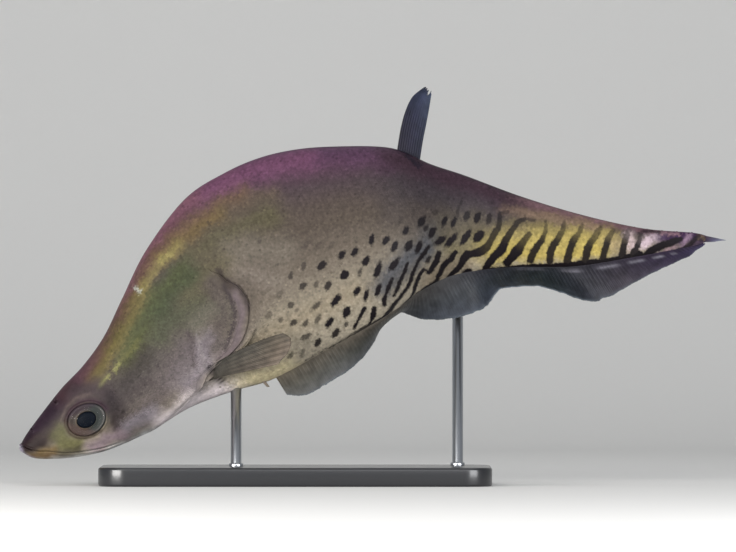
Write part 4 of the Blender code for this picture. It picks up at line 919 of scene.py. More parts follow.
def scale_places(first, last, set_out, gap, step):
    """Places of the scales in rows along the body, and just ahead: section lines and shares."""
    lines = np.linspace(first, last, 500)
    shares = np.linspace(0, 1, 241)
    points = bare(lines[:, None], shares[None, :], -1)
    girth = np.cumsum(np.linalg.norm(np.diff(points, axis=1), axis=-1), axis=1)
    girth = np.concatenate([np.zeros((len(lines), 1)), girth], axis=1)
    level = np.array([np.interp(t, shares, g) for t, g in zip(through(LATERAL_LINE, lines), girth)])
    found = []
    for row in range(int(-0.14 / (gap * MM)), int(0.14 / (gap * MM))):
        wanted = level + row * gap * MM
        share = np.array([np.interp(w, g, shares, left=-1, right=2) for w, g in zip(wanted, girth)])
        held = (share > TOP_ROW) & (share < LOW_ROW)
        if held.sum() < 4:
            continue
        s, t = lines[held], share[held]
        run = np.linalg.norm(np.diff(bare(s, t, -1), axis=0), axis=-1)
        run = np.concatenate([[0.0], np.cumsum(run)])
        origin = np.interp(set_out, s, run) / (step * MM)
        number = np.arange(math.ceil(-origin), int(run[-1] / (step * MM) - origin))
        at = np.clip((number + 0.5 * (row % 2) + origin) * step * MM, 0.0, run[-1])
        ahead = np.minimum(at + 0.3 * MM, run[-1])
        found.append([np.interp(here, run, values) for here in (at, ahead) for values in (s, t)])
    return np.concatenate(found, axis=1)


def scaled(s, t):
    """Where the skin carries scales, and where those are the fine ones of the gill cover and cheek."""
    flat = bare(s, t, -1)
    x, z = flat[..., 0] / MM, flat[..., 2] / MM
    ahead = (through(GILL_EDGE, t) - s) * LINE_GAP
    flap = (ahead < 9.6) & (ahead > -2.2) & (t > 0.29)
    cheek = (ahead >= 9.6) & (t > 0.30)
    bare_face = (np.hypot(x - EYE[0], z - EYE[1]) < EYE_CLEAR) | (x < FACE_END)
    bare_face = bare_face | (t > jaw_line(np.minimum(s, JAW_END)) - 0.14) & (s < 7.4) | cheek & (t > 0.86)
    pectoral = np.hypot(x - BREAST_FIN_CLEAR[0], z - BREAST_FIN_CLEAR[1]) < BREAST_FIN_CLEAR[2]
    throat = (t > 0.93) & (s < 9.4)
    return ~(flap | bare_face | pectoral | throat), cheek


seed = np.random.default_rng(7)
for side, side_name in ((-1, "left"), (1, "right")):
    for area, first, last, set_out, gap, step in AREAS:
        places = scale_places(first, last, set_out, gap, step)
        kept, fine_ones = scaled(*places[:2])
        s, t, next_s, next_t = places[:, kept & (fine_ones == (area == "gill_cover"))]
        root = skin_at(s, t, side)
        out = facing(s, t, side)
        along = bare(next_s, next_t, side) - bare(s, t, side)
        along -= out * (along * out).sum(-1, keepdims=True)
        along /= np.linalg.norm(along, axis=-1, keepdims=True)
        turn = seed.normal(0, 0.05, len(s))[:, None]
        over = np.cross(out, along)
        along, over = along + over * turn, over - along * turn
        size = seed.uniform(0.94, 1.06, len(s))[:, None]
        shape = np.array(PLATE + (PLATE_TOP, PLATE_FOOT))
        lengthwise = shape[:, 0] * size * step * SCALE_LONG * MM
        crosswise = shape[:, 1] * size * gap * SCALE_WIDE * MM
        raised = shape[:, 2] * (0.5 + 0.5 * size) * MM
        points = root[:, None, :] + along[:, None, :] * lengthwise[..., None]
        points = points + over[:, None, :] * crosswise[..., None] + out[:, None, :] * raised[..., None]
        rim = len(PLATE)
        corners = [(i, (i + 1) % rim, rim) for i in range(rim)]
        corners += [((i + 1) % rim, i, rim + 1) for i in range(rim)]
        faces = (np.arange(len(s)) * (rim + 2))[:, None, None] + np.array(corners)
        mesh = bpy.data.meshes.new(side_name + "_scales_" + area)
        mesh.from_pydata(points.reshape(-1, 3), [], faces.reshape(-1, 3).tolist())
        mesh.shade_flat()
        per_line = np.linalg.norm(bare(s + 0.02, t, -1) - bare(s - 0.02, t, -1), axis=-1) / 0.04
        per_share = np.linalg.norm(bare(s, t + 0.004, -1) - bare(s, t - 0.004, -1), axis=-1) / 0.008
        vertex_s = np.clip(s[:, None] + lengthwise / per_line[:, None], 0, TAIL_END)
        vertex_t = np.clip(t[:, None] + side * crosswise / per_share[:, None], 0, 1)
        shift = np.repeat(seed.normal(0.0, 0.6 * MM, (2, len(s))), rim + 2, axis=1)
        paint(mesh, vertex_s.ravel(), vertex_t.ravel(), shift)
        tone = np.repeat(seed.normal(1.0, 0.10, len(s)), rim + 2)
        mesh.attributes["tone"].data.foreach_set("value", tone.astype(np.float32))
        unwrap = mesh.uv_layers.new(name="OFBake")
        u = (0.01 + 0.98 * (s - first) / (last - first))[:, None] + shape[:, 0] * PATCH
        v = (0.01 + 0.98 * t)[:, None] + side * shape[:, 1] * PATCH
        patch = np.stack([u, v], axis=-1).reshape(-1, 2)
        index = np.empty(len(mesh.loops), np.int32)
        mesh.loops.foreach_get("vertex_index", index)
        unwrap.data.foreach_set("uv", patch[index].ravel().astype(np.float32))
        mesh.materials.append(wet_skin)
        coat = put_in_scene(mesh.name, mesh)
        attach(coat, "root")

# Eyes. A lens of an eyeball set into the head on each side: a dark iris with a pale ring round the
# pupil, and a clear cornea over both.
EYE_SUNK = 0.4
IRIS_PROFILE = (
    # radius and height in mm, from behind the eyeball round its rim and in to the pupil
    (5.0, -5.2), (8.5, -4.4), (10.8, -2.6), (11.4, -1.0), (11.3, 0.0), (10.9, 0.5), (10.3, 0.85),
    (9.7, 0.98), (9.0, 0.92), (8.2, 0.80), (7.4, 0.78), (6.8, 0.88), (6.3, 1.06), (6.0, 1.12),
    (5.8, 1.02), (5.7, 0.75), (5.6, 0.3),
)
PUPIL_PROFILE = ((5.65, 0.2), (5.4, 0.62), (4.7, 1.05), (3.6, 1.40), (2.2, 1.64), (0.9, 1.74), (0.1, 1.75))
CORNEA_PROFILE = (
    (11.2, 0.1), (11.15, 0.45), (10.7, 0.95), (9.6, 1.45), (8.0, 1.9), (6.0, 2.22), (4.0, 2.4),
    (2.0, 2.48), (0.1, 2.5),
)
EYE_CORNERS = 96


def turned(name, profile, corners):
    """A solid turned on a lathe and drawn up from its foot: pairs of radius and height in mm."""
    bpy.ops.object.select_all(action="DESELECT")
    radius, height = profile[0]
    bpy.ops.mesh.primitive_circle_add(
        vertices=corners, radius=radius * MM, fill_type="NGON", location=(0.0, 0.0, height * MM)
    )
    piece = bpy.context.object
    piece.name = piece.data.name = name
    bpy.ops.object.mode_set(mode="EDIT")
    bpy.ops.mesh.select_all(action="SELECT")
    for (r0, h0), (r1, h1) in zip(profile[:-1], profile[1:]):
        bpy.ops.mesh.extrude_region_move(TRANSFORM_OT_translate={"value": (0.0, 0.0, (h1 - h0) * MM)})
        bpy.ops.transform.resize(value=(r1 / r0, r1 / r0, 1.0))
    bpy.ops.mesh.select_all(action="SELECT")
    bpy.ops.mesh.normals_make_consistent(inside=False)
    bpy.ops.object.mode_set(mode="OBJECT")
    bpy.ops.object.shade_smooth()
    bpy.ops.object.transform_apply(location=True, rotation=True, scale=True)
    return piece


def stood(piece, place, way):
    """Stands a turned piece at a place with its axis along the way given, and fixes it there."""
    piece.location = place
    piece.rotation_euler = (math.acos(max(-1.0, min(1.0, way[2]))), 0.0, math.atan2(way[0], -way[1]))
    bpy.ops.object.select_all(action="DESELECT")
    piece.select_set(True)
    bpy.context.view_layer.objects.active = piece
    bpy.ops.object.transform_apply(location=True, rotation=True, scale=True)


# Iris: pigment cells with a dull silvery glint, flecked like fine grit.
iris_pigment, tree, shader = new_material("iris", 0.5, Specular_IOR_Level=0.2)
place = add_node(tree, "TexCoord")
iris_ground = add_node(tree, "Attribute", {"attribute_name": "ground"})
flecked = clouded(tree, iris_ground, place, 0.75, 1.25, Scale=900.0, Detail=3.0)
tree.links.new(flecked, shader.inputs["Base Color"])

# Pupil: the dark front of the lens, faintly blue.
pupil_lens, tree, shader = new_material("pupil_lens", 0.5, "#0b1018", Specular_IOR_Level=0.05)

# Cornea: clear, with only the faint gloss that it has under water.
clear_cornea = bpy.data.materials.new("clear_cornea")
clear_cornea.use_nodes = True
tree = clear_cornea.node_tree
tree.nodes.clear()
clear = add_node(tree, "BsdfTransparent", None, {"Color": (1.0, 1.0, 1.0, 1.0)})
shine = add_node(tree, "BsdfGlossy", None, {"Roughness": 0.04})
amount = add_node(tree, "Fresnel", None, {"IOR": 1.1})
glass = add_node(
    tree, "MixShader", None, {0: amount.outputs[0], 1: clear.outputs[0], 2: shine.outputs[0]}
)
add_node(tree, "OutputMaterial", None, {"Surface": glass.outputs[0]})

# Colours of the iris by the distance from its middle in mm.
IRIS_RINGS = (
    (5.6, "#17171e"), (5.95, "#5c503c"), (6.5, "#473d34"), (7.8, "#3f362e"), (9.2, "#3d342c"),
    (10.2, "#493f34"), (10.7, "#3a2e2c"), (11.4, "#241b1e"),
)


def iris_colour(dx, dz, radius):
    """Colour of the iris: grey-green behind with a pale rim, brown in front below, and painted shade above
    from the orbit's rim.
    """
    colour = colours_at(IRIS_RINGS, radius)
    pale_rim = smooth_step(1 - np.abs(radius - 10.3) / 0.9)
    for code, strength, weight in (
        ("#2c3331", 0.90, smooth_step(0.35 + (dx + 0.1 * dz) / 7.0)),
        ("#7a7673", 0.85, pale_rim * smooth_step(0.15 + (dx - 0.5 * dz) / 9.0)),
        ("#57413c", 0.55, smooth_step((-dz - 0.3 * dx - 3.5) / 4.0)),
        # painted shade from the orbit's upper rim
        ("#3f303c", 0.70, smooth_step((dz - 0.5 * dx - 4.0) / 5.0)),
    ):
        colour = laid_over(colour, code, (strength * weight * (radius > 5.75))[:, None])
    return colour * PIGMENT_DEPTH


for side, side_name in ((-1, "left"), (1, "right")):
    s, t = place_in_mm(EYE, side)
    way = facing(s, t, side)[0]
    middle = bare(s, t, side)[0] + way * (COAT - EYE_SUNK * MM)
    for name, profile, material in (
        ("_iris", IRIS_PROFILE, iris_pigment),
        ("_pupil", PUPIL_PROFILE, pupil_lens),
        ("_cornea", CORNEA_PROFILE, clear_cornea),
    ):
        piece = turned(side_name + name, profile, EYE_CORNERS)
        radius = np.array([math.hypot(v.co[0], v.co[1]) for v in piece.data.vertices]) / MM
        piece.scale = (EYE_OVAL[0], EYE_OVAL[1], 1.0)
        bpy.ops.object.transform_apply(location=True, rotation=True, scale=True)
        piece.rotation_euler = (0.0, 0.0, -side * EYE_OVAL[2])
        bpy.ops.object.transform_apply(location=True, rotation=True, scale=True)
        stood(piece, middle, way)
        if name == "_iris":
            spots = (np.array([v.co[:] for v in piece.data.vertices]) - middle) / MM
            store_colour(piece.data, iris_colour(spots[:, 0], spots[:, 2], radius))
        piece.data.materials.append(material)
        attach(piece, "root")
        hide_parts(side_name + "_eye")

# Fins. Soft rays of bone in a thin web of skin; each ray is a ridge on both faces that forks towards
# the fin's edge. The long anal fin runs in one piece under the body from the belly to the tail.
FORKS = (0.42, 0.74)
FORK_SPREADS = (0.21, 0.105)


def ray_ridges(rays, per_ray, level, forks=FORKS):
    """Shares across the fin, and the height of its rays over the web there as a share of the highest."""
    share = np.linspace(0, 1, rays * per_ray + 1)
    phase = (share * rays) % 1.0
    spread = [FORK_SPREADS[i] * smooth_step((level - forks[i]) / 0.3) for i in range(2)]
    best = np.full((len(share), len(level)), 1.0)
    for one in (-1, 1):
        for two in (-1, 1):
            centre = 0.5 + one * spread[0] + two * spread[1]
            best = np.minimum(best, np.abs(phase[:, None] - centre[None, :]))
    width = 0.19 - 0.08 * smooth_step((level - forks[0]) / 0.5)
    return share, np.exp(-((best / width[None, :]) ** 2))


def blend(table, share, level):
    """A fin's colour, from rows of (share, colour at the root, halfway and at the edge)."""
    across_fin = np.stack([colours_at(table, share, column) for column in (1, 2, 3)])
    place = np.clip(level, 0, 1) * 2
    low = np.minimum(place.astype(int), 1)
    part = (place - low)[None, :, None]
    below, above = across_fin[low].transpose(1, 0, 2), across_fin[low + 1].transpose(1, 0, 2)
    return (below * (1 - part) + above * part) * PIGMENT_DEPTH


def sew_fin(name, sheet, way, half, colour, *nodes):
    """Closes a fin round its middle sheet, gives it its colours and material, hangs it on the root and hides
    the solids it replaces.
    """
    columns, rows = half.shape
    faces = []
    left_of = np.arange(columns * rows).reshape(columns, rows)
    right_of = left_of + columns * rows
    for c in range(columns - 1):
        for r in range(rows - 1):
            faces.append((left_of[c, r], left_of[c + 1, r], left_of[c + 1, r + 1], left_of[c, r + 1]))
            faces.append((right_of[c, r], right_of[c, r + 1], right_of[c + 1, r + 1], right_of[c + 1, r]))
        for r, turn in ((0, 1), (rows - 1, -1)):
            corners = (left_of[c, r], right_of[c, r], right_of[c + 1, r], left_of[c + 1, r])
            faces.append(corners[::turn])
    for r in range(rows - 1):
        for c, turn in ((0, -1), (columns - 1, 1)):
            corners = (left_of[c, r], right_of[c, r], right_of[c, r + 1], left_of[c, r + 1])
            faces.append(corners[::turn])
    points = np.concatenate([(sheet + one * way * half[..., None]).reshape(-1, 3) for one in (-1, 1)])
    mesh = bpy.data.meshes.new(name)
    mesh.from_pydata(points, [], [tuple(int(i) for i in face) for face in faces])
    bm = bmesh.new()
    bm.from_mesh(mesh)
    bmesh.ops.recalc_face_normals(bm, faces=bm.faces)
    bm.to_mesh(mesh)
    bm.free()
    mesh.shade_smooth()
    store_colour(mesh, np.tile(colour.reshape(-1, 3), (2, 1)))
    mesh.materials.append(fin_web)
    fin = put_in_scene(name, mesh)
    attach(fin, "root")
    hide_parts(*nodes)


def sheet_way(sheet, out):
    """The way a fin's middle sheet faces, on the side that out points to."""
    along = np.gradient(sheet, axis=0)
    up = np.gradient(sheet, axis=1)
    normal = np.cross(up, along)
    normal /= np.linalg.norm(normal, axis=-1, keepdims=True)
    return normal * np.sign((normal * out).sum(-1, keepdims=True) + 1e-9)


# Fin web: dark skin between the rays, wet and finely clouded.
fin_web, tree, shader = new_material(
    "fin_web", 0.45, Specular_IOR_Level=0.14, Coat_Weight=0.02, Coat_Roughness=0.3
)
place = add_node(tree, "TexCoord")
web_ground = add_node(tree, "Attribute", {"attribute_name": "ground"})
web_colour = clouded(tree, web_ground, place, 0.72, 1.28, Scale=190.0, Detail=5.0)
tree.links.new(web_colour, shader.inputs["Base Color"])

# Anal fin by section line: its height in mm, how steeply its rays lean back, and how far they flare.
FIN_HEIGHTS = (
    (11.1, 13), (11.5, 19), (12.6, 18), (13.4, 19), (14.2, 21), (15.0, 24), (16.0, 27.5), (18.0, 25),
    (18.8, 17), (19.5, 10), (19.8, 7.4), (20.0, 4.8), (20.3, 3.4), (20.7, 1.8),
)
FIN_SLOPES = ((11.1, 58), (13, 60), (18, 60), (19.2, 44), (19.8, 33), (20.3, 20), (20.7, 8))
FIN_FLARES = (
    (11.1, 0), (12.0, -4), (12.6, 30), (13.2, 72), (13.9, 84), (14.5, 76), (15.0, 34), (15.6, 0), (16.2, -30),
    (16.7, -70), (17.2, -70), (17.6, -52), (18.1, 4), (19.2, 24), (20.3, 0), (20.7, 0),
)
ANAL_RAYS, ANAL_PER_RAY, ANAL_ROWS = 124, 10, 18
ANAL_COLOURS = (
    (0.0, "#6c6456", "#58554d", "#646564"), (0.2, "#5e574d", "#4d4d49", "#5a5c5e"),
    (0.36, "#4a4744", "#434548", "#4d5159"), (0.5, "#33333a", "#343940", "#3e4450"),
    (0.64, "#262a2e", "#283034", "#343e44"), (0.8, "#2d2834", "#3a353e", "#4b464f"),
    (0.9, "#2f2539", "#352d41", "#463e52"), (1.0, "#2c2238", "#312a48", "#403a58"),
)
# Pale streaks along its root: the place and half the length in mm, and how strong.
FIN_STREAKS = (
    (99, 9, 0.35), (125.6, 6.5, 0.6), (148.8, 6.8, 0.75), (166.3, 5.2, 0.75), (180.3, 3.6, 0.8),
    (190, 2, 0.5),
)
STREAK_GREY, EDGE_GREY = "#84818c", "#7d8790"
level = np.concatenate([[-0.10, -0.04], np.linspace(0, 1, ANAL_ROWS)])
share, ridge = ray_ridges(ANAL_RAYS, ANAL_PER_RAY, np.clip(level, 0, 1))
fine = lines_between(FIN_FROM, FIN_TO, 0.3 * MM)
s = np.interp(share, np.linspace(0, 1, len(fine)), fine)
root = on_middle(s, 1.0, -COAT)
height = through(FIN_HEIGHTS, s) * MM
seed = np.random.default_rng(11)
ray_lengths = np.interp(share * ANAL_RAYS, np.arange(ANAL_RAYS) + 0.5, 1 + seed.normal(0, 0.012, ANAL_RAYS))
height = height * ray_lengths - 0.45 * MM * (1 - ridge[:, -1])
slope = np.radians(through(FIN_SLOPES, s))
flare = np.radians(through(FIN_FLARES, s))
out = across(root[:, 0])
forward = np.stack([out[:, 1], -out[:, 0], np.zeros_like(s)], axis=-1)
ray = forward * np.cos(slope)[:, None] + np.array([0, 0, -1.0]) * np.sin(slope)[:, None]
point = root + ray * (level[0] * height)[:, None]
rows = [point]
for lower, upper in zip(level[:-1], level[1:]):
    halfway = (lower + upper) / 2
    angle = (flare * np.clip(0.5 + 0.6 * (halfway + 0.125), 0.0, 1.0) * (halfway > 0))[:, None]
    point = point + (ray * np.cos(angle) + out * np.sin(angle)) * (height * (upper - lower))[:, None]
    rows.append(point)
sheet_points = np.stack(rows, axis=1)
web = np.clip(level, 0, 1)
ruffle = 0.45 * MM * np.sin(share * 2 * math.pi * 17 + 2.2 * np.sin(share * 9.0))
sheet_points = sheet_points + out[:, None, :] * np.outer(ruffle, web**2)[..., None]
way = sheet_way(sheet_points, out[:, None, :])
half = keel_half(s)[:, None] * 1.04 * (1 - web) ** 1.6 + (0.14 + 0.06 * (1 - web)) * MM
half = half + ridge * (0.22 - 0.12 * web) * MM * smooth_step(web / 0.08)
half[:, 0] *= 0.6
colour = blend(ANAL_COLOURS, share, web) * (0.93 + 0.14 * ridge * smooth_step(web / 0.1))[..., None]
off_root = web[None, :] * height[:, None] / MM
for x, length, strength in FIN_STREAKS:
    streak = np.exp(-(((root[:, :1] / MM - x) / length) ** 4)) * np.exp(-(((off_root - 2.5) / 1.1) ** 2))
    streak = (strength * streak)[..., None]
    colour = colour * (1 - streak) + hex_colour(STREAK_GREY) * PIGMENT_DEPTH * streak
edge = (0.6 * smooth_step((web - 0.93) / 0.05))[None, :, None]
colour = colour * (1 - edge) + hex_colour(EDGE_GREY) * PIGMENT_DEPTH * edge
sew_fin("anal_fin", sheet_points, way, half, colour, "anal_fin_front", "anal_fin_middle", "anal_fin_rear")

# Back fin. Narrow as a feather, of ten soft rays in a dark web, rooted on the top of the back. It is
# drawn between its first and last ray, as x and z in mm, and its tips are worn.
BACK_FIN_FIRST = ((14.6, 213.5), (17.6, 228.5), (20.4, 239.0), (24.6, 247.8), (32.8, 254.8))
BACK_FIN_LAST = ((28.4, 208.6), (31.0, 220.0), (33.4, 231.0), (35.6, 242.0), (37.2, 251.5))
BACK_FIN_SINK = 4  # mm that its root reaches into the flesh
BACK_RAYS, BACK_PER_RAY, BACK_ROWS = 10, 12, 34
BACK_COLOURS = (
    (0.0, "#2a2633", "#2b2c3e", "#333a50"), (0.5, "#2c2a39", "#2f3146", "#3a4159"),
    (1.0, "#2d2e3d", "#363c50", "#4a5368"),
)
level = np.linspace(0, 1, BACK_ROWS)
share, ridge = ray_ridges(BACK_RAYS, BACK_PER_RAY, level, (0.35, 0.65))
tips = np.interp(share * BACK_RAYS, np.arange(BACK_RAYS) + 0.5, 1 + seed.normal(-0.02, 0.035, BACK_RAYS))
reach = np.clip(level[None, :] * (tips - 0.09 * (1 - ridge[:, -1]))[:, None], 0, 1.0)
edges = []
for line in (BACK_FIN_FIRST, BACK_FIN_LAST):
    knots = np.array(line)
    knots[0, 1] -= BACK_FIN_SINK
    places = np.linspace(0, 1, len(knots))
    edges.append(np.stack([through(list(zip(places, column)), reach) for column in knots.T], axis=-1) * MM)
flat = edges[0] + (edges[1] - edges[0]) * share[:, None, None]
sheet_points = np.stack([flat[..., 0], sideways(flat[..., 0]), flat[..., 1]], axis=-1)
way = across(sheet_points[..., 0])
sheet_points = sheet_points + way * (0.5 * MM * np.outer(np.sin(share * 7.0), level**1.5))[..., None]
half = 1.1 * MM * (1 - level) ** 1.2 + 0.13 * MM
half = half[None, :] + ridge * (0.34 - 0.2 * level)[None, :] * MM
colour = blend(BACK_COLOURS, share, level) * (0.8 + 0.4 * ridge)[..., None]
sew_fin("dorsal_fin", sheet_points, way, half, colour, "dorsal_fin")

# Pectoral fins. One long rounded paddle of soft rays and web behind each gill opening. Each is laid
# back along the flank from a fleshy root that sinks into the skin.
PECTORAL_ROOT = (-99.4, 73.6, 9.0, 0.72)
PECTORAL_LENGTH, PECTORAL_WIDTH = 52 * MM, 20.5 * MM
PECTORAL_RISE, PECTORAL_FLARE = math.radians(21), math.radians(14)
PECTORAL_RAYS, PECTORAL_PER_RAY, PECTORAL_ROWS = 16, 10, 40
PECTORAL_COLOURS = (
    (0.0, "#38352f", "#3d3832", "#49423a"), (0.10, "#4d4a43", "#545048", "#665d50"),
    (0.5, "#54504a", "#645d53", "#74675a"), (1.0, "#5b564e", "#6b6157", "#7c6f62"),
)
level = np.concatenate([[-0.16, -0.08], np.linspace(0, 1, PECTORAL_ROWS)])
for side, side_name in ((-1, "left"), (1, "right")):
    root = bare(*place_in_mm(PECTORAL_ROOT, side), side)[0]
    out = across(np.array(root[0])) * side
    back = np.array([math.cos(PECTORAL_RISE), 0.0, math.sin(PECTORAL_RISE)])
    down = np.array([math.sin(PECTORAL_RISE), 0.0, -math.cos(PECTORAL_RISE)])
    axis = back * math.cos(PECTORAL_FLARE) + out * math.sin(PECTORAL_FLARE)
    lift = np.cross(axis, down)
    lift = lift * side * np.sign(lift[1])
    swell = np.clip(level, 0, 1)
    share, ridge = ray_ridges(PECTORAL_RAYS, PECTORAL_PER_RAY, swell)
    wide = (2 * share - 1)[:, None]
    spread = PECTORAL_WIDTH * 0.5 * (0.45 + 0.85 * swell - 0.45 * swell**2)
    uneven = 1 + seed.normal(0, 0.006, PECTORAL_RAYS)
    lengths = np.interp(share * PECTORAL_RAYS, np.arange(PECTORAL_RAYS) + 0.5, uneven)
    trim = (lengths - 0.012 * (1 - ridge[:, -1]))[:, None]
    reach = level[None, :] * trim * PECTORAL_LENGTH * (1 - 0.16 * wide**2 * swell - 0.10 * swell * wide)
    curl = (2.5 * swell**2 - 1.0 * wide**2 * swell - 3.2 * np.clip(-level / 0.16, 0, 1)) * MM
    low = spread * wide + 1.6 * MM * swell**3
    sheet_points = root + axis * reach[..., None] + down * low[..., None] + lift * curl[..., None]
    half = 1.6 * MM * (1 - swell) ** 2 * (1 - 0.5 * wide**2) + 0.15 * MM
    half = half + ridge * (0.32 - 0.17 * swell) * MM
    streak = 1 + 0.22 * np.sin(share * PECTORAL_RAYS * 2.1)[:, None] * smooth_step(swell / 0.3)[None, :]
    colour = blend(PECTORAL_COLOURS, share, swell) * (0.72 + 0.42 * ridge)[..., None] * streak[..., None]
    name = side_name + "_pectoral_fin"
    sew_fin(name, sheet_points, np.broadcast_to(lift, sheet_points.shape), half, colour, name)

# Pelvic fins. Rudiments of a few short rays and a scrap of web, one on each side of the belly's keel,
# just ahead of the anal fin.
PELVIC_AT = (-71.5, 67.5)
PELVIC_COLOURS = ((0.0, "#8f8577", "#8a7f72", "#9a8f80"),)
level = np.linspace(0, 1, 12)
share, ridge = ray_ridges(5, 8, level)
for side, side_name in ((-1, "left"), (1, "right")):
    wide = (share - 0.5)[:, None]
    x = PELVIC_AT[0] * MM
    back = x + (wide * 3.2 * (1 - 0.4 * level) + 4.0 * level) * MM
    aside = sideways(np.array(x)) + side * (1.6 + 1.0 * level) * MM
    down = (PELVIC_AT[1] - 5.0 * level * (1 - 0.04 * (1 - ridge))) * MM
    sheet_points = np.stack(np.broadcast_arrays(back, aside, down), axis=-1)
    half = (0.45 - 0.3 * level) * MM + ridge * 0.14 * MM
    colour = blend(PELVIC_COLOURS, share, level) * (0.8 + 0.35 * ridge)[..., None]
    name = side_name + "_pelvic_fin"
    sew_fin(name, sheet_points, np.broadcast_to([0.0, 1.0, 0.0], sheet_points.shape), half, colour, name)

# Tail fin. A small short fan of rays and web off the end of the flesh, which the anal fin almost
# meets below.
CAUDAL_LENGTHS = ((0, 13.4), (0.3, 12.8), (0.6, 10.4), (1, 6.0))
CAUDAL_COLOURS = (
    (0.0, "#5a4a58", "#6a6c7c", "#9aa0ae"), (0.5, "#54465a", "#62607a", "#8a8c9e"),
    (1.0, "#4a3d50", "#585468", "#77788a"),
)
level = np.concatenate([[-0.12], np.linspace(0, 1, 16)])
web = np.clip(level, 0, 1)
share, ridge = ray_ridges(13, 8, web)
top, low = on_middle(TAIL_END, 0.06), on_middle(TAIL_END, 0.94)
angle = np.radians(-12) + np.radians(13) * share
reach = np.outer(through(CAUDAL_LENGTHS, share) * (1 - 0.05 * (1 - ridge[:, -1])) * MM, level)
start = top + np.outer(share, low - top)
x = start[:, :1] + reach * np.cos(angle)[:, None]
z = start[:, 2:] + reach * np.sin(angle)[:, None]
sheet_points = np.stack([x, sideways(x), z], axis=-1)
half = 0.62 * MM * (1 - web) + 0.13 * MM + ridge * (0.2 - 0.1 * web) * MM
colour = blend(CAUDAL_COLOURS, share, web) * (0.8 + 0.4 * ridge)[..., None]
sew_fin("caudal_fin", sheet_points, across(sheet_points[..., 0]), half, colour, "caudal_fin")

# Stand base. A flat block with rounded corners and a broken edge, under black lacquer. It stands
# nearer the head, where the fish is heaviest, and the two rods are let into its top.
BASE_SIZE = (250, 110, 12)
BASE_CENTRE = (-50, 0)
BASE_CORNER, BASE_EDGE = 18, 1.6

# Black lacquer: glossy over a faint orange peel.
lacquer, tree, shader = new_material(
    "black_lacquer", 0.32, "#1c1d20", Coat_Weight=0.4, Coat_Roughness=0.15
)
place = add_node(tree, "TexCoord")
roughened(tree, shader, place.outputs["Object"], 0.1, 0.1, Scale=350.0, Detail=2.0)

bpy.ops.object.select_all(action="DESELECT")
base_middle = (BASE_CENTRE[0] * MM, BASE_CENTRE[1] * MM, BASE_SIZE[2] * MM / 2)
bpy.ops.mesh.primitive_cube_add(size=1.0, location=base_middle)
base_block = bpy.context.object
base_block.name = base_block.data.name = "stand_base_block"
base_block.scale = tuple(v * MM for v in BASE_SIZE)
bpy.ops.object.transform_apply(location=True, rotation=True, scale=True)
bpy.ops.object.mode_set(mode="EDIT")
edit = bmesh.from_edit_mesh(base_block.data)
bpy.ops.mesh.select_mode(type="EDGE")
bpy.ops.mesh.select_all(action="DESELECT")
for edge_line in edit.edges:
    edge_line.select_set(abs(edge_line.verts[0].co.z - edge_line.verts[1].co.z) > 5 * MM)
bpy.ops.mesh.bevel(offset=BASE_CORNER * MM, segments=16)
bpy.ops.mesh.select_all(action="DESELECT")
edit = bmesh.from_edit_mesh(base_block.data)
for edge_line in edit.edges:
    edge_line.select_set(abs(edge_line.verts[0].co.z - edge_line.verts[1].co.z) < 0.1 * MM)
bpy.ops.mesh.bevel(offset=BASE_EDGE * MM, segments=4)
bpy.ops.object.mode_set(mode="OBJECT")
bpy.ops.object.shade_smooth()
base_block.data.materials.append(lacquer)
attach(base_block, "root")
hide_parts("stand_base")

# Stand rods. Two steel rods turned with a collar at the foot and set into the block. The front one
# ends in the belly behind the throat, and the rear one beside the root of the anal fin.
ROD_RADIUS, ROD_CORNERS = 3.5, 48
ROD_SET_IN = 2.0
COLLAR = ((4.6, 13.4), (4.4, 13.8), (3.7, 14.0), (ROD_RADIUS, 14.2))  # radius and height in mm
FRONT_ROD_X = -88 * MM
REAR_ROD_LINE, REAR_ROD_SIDE = 16.1, 7.0 * MM
REAR_ROD_HALF = 10.0 * MM  # half the body's width where the rear rod ends
FRONT_ROD_SINK = 2.5 * MM

# Brushed steel: fine lines along the rod.
steel, tree, shader = new_material("brushed_steel", 0.28, "#b9bcc0", Metallic=1.0)
place = add_node(tree, "TexCoord")
long_way = add_node(tree, "Mapping", None, {"Vector": place.outputs["Object"], "Scale": (900.0, 900.0, 30.0)})
roughened(tree, shader, long_way.outputs[0], 0.15, 0.05, Scale=1.0, Detail=2.0)

rear = on_middle(REAR_ROD_LINE, 1.0)
rear = rear + across(rear[0]) * REAR_ROD_SIDE
shares = np.linspace(0.5, 1.0, 200)
nearest = np.argmin(np.abs(half_width(REAR_ROD_LINE, shares) - REAR_ROD_HALF))
rear_top = on_middle(REAR_ROD_LINE, shares[nearest])[2]
belly = on_middle(np.linspace(8.5, 11.0, 400), 1.0)
front_top = np.interp(FRONT_ROD_X, belly[:, 0], belly[:, 2]) + FRONT_ROD_SINK
for name, x, y, top in (
    ("stand_rod_front", FRONT_ROD_X, float(sideways(np.array(FRONT_ROD_X))), front_top),
    ("stand_rod_rear", rear[0], rear[1], rear_top),
):
    foot = (COLLAR[0][0], BASE_SIZE[2] - ROD_SET_IN)
    rod = turned(name + "_turned", (foot, *COLLAR, (ROD_RADIUS, top / MM)), ROD_CORNERS)
    stood(rod, (x, y, 0.0), (0.0, 0.0, 1.0))
    rod.data.materials.append(steel)
    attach(rod, "root")
    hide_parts(name)

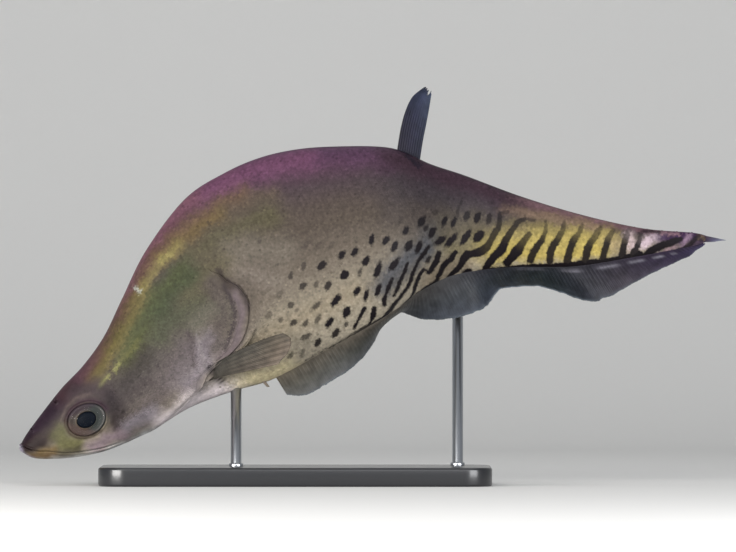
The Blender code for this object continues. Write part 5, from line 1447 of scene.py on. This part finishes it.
# Floor and backdrop. One sheet of pale matt paper that lies under the stand and curves up behind it.
# It is stage, and no part of the model.
SWEEP = 0.8  # m
mesh = bpy.data.meshes.new("backdrop")
profile = [(-7.0, 0.0), (1.2, 0.0)]
for turn in np.linspace(0.1, math.pi / 2, 12):
    profile.append((1.2 + SWEEP * math.sin(turn), SWEEP - SWEEP * math.cos(turn)))
profile += [(1.2 + SWEEP, 4.0)]
corners = [(x, y, z) for x in (-4.0, 4.0) for y, z in profile]
count = len(profile)
mesh.from_pydata(corners, [], [(i, i + count, i + count + 1, i + 1) for i in range(count - 1)])
mesh.shade_smooth()
paper, tree, shader = new_material("matt_backdrop_paper", 0.9, "#e6e5e2")
mesh.materials.append(paper)
backdrop = put_in_scene("backdrop", mesh)


# Lamps. Five soft boxes: a key and a fill from the camera's side, two low ones for the belly, and one
# above the back.
def softbox(name, place, aim, size, power, colour):
    """A rectangular soft lamp at a place, turned to what it lights."""
    data = bpy.data.lights.new(name, "AREA")
    data.shape = "RECTANGLE"
    data.size, data.size_y = size
    data.energy = power
    data.color = colour
    lamp = put_in_scene(name, data)
    lamp.location = place
    way = np.array(aim) - np.array(place)
    lamp.rotation_euler = (
        math.atan2(np.hypot(way[0], way[1]), -way[2]),
        0.0,
        math.atan2(way[1], way[0]) - math.pi / 2,
    )


softbox("key_light", (-0.8, -1.7, 1.1), (0.0, 0.0, 0.14), (1.2, 1.0), 11.0, (1.0, 0.98, 0.95))
softbox("front_light", (0.5, -1.7, 0.66), (0.0, 0.0, 0.12), (1.4, 0.6), 10.0, (0.98, 0.98, 1.0))
softbox("low_left_light", (-0.95, -1.0, 0.16), (-0.1, 0.0, 0.12), (0.8, 0.28), 15.0, (1.0, 0.98, 0.96))
softbox("low_right_light", (0.95, -1.1, 0.16), (0.1, 0.0, 0.15), (0.8, 0.28), 8.5, (0.97, 0.98, 1.0))
softbox("top_light", (0.1, 0.3, 1.7), (0.0, 0.0, 0.12), (1.4, 0.8), 5.0, (1.0, 1.0, 1.0))
world = bpy.data.worlds.new("studio")
world.use_nodes = True
world.node_tree.nodes["Background"].inputs["Color"].default_value = (0.80, 0.84, 0.9, 1.0)
world.node_tree.nodes["Background"].inputs["Strength"].default_value = 0.35
bpy.context.scene.world = world
bpy.context.scene.view_settings.view_transform = "Standard"

# Camera. Level with the fish and square to its flank, as the photo's was. It stands far off with a
# long lens, so that the tail isn't drawn smaller.
CAMERA_PLACE = (-3.8 * MM, -6.0, 133.4 * MM)
CAMERA_LENS = 459.8
lens = bpy.data.cameras.new("camera")
lens.lens = CAMERA_LENS
lens.sensor_width = 36.0
camera = put_in_scene("camera", lens)
camera.location = CAMERA_PLACE
camera.rotation_euler = (math.pi / 2, 0.0, 0.0)
bpy.context.scene.camera = camera
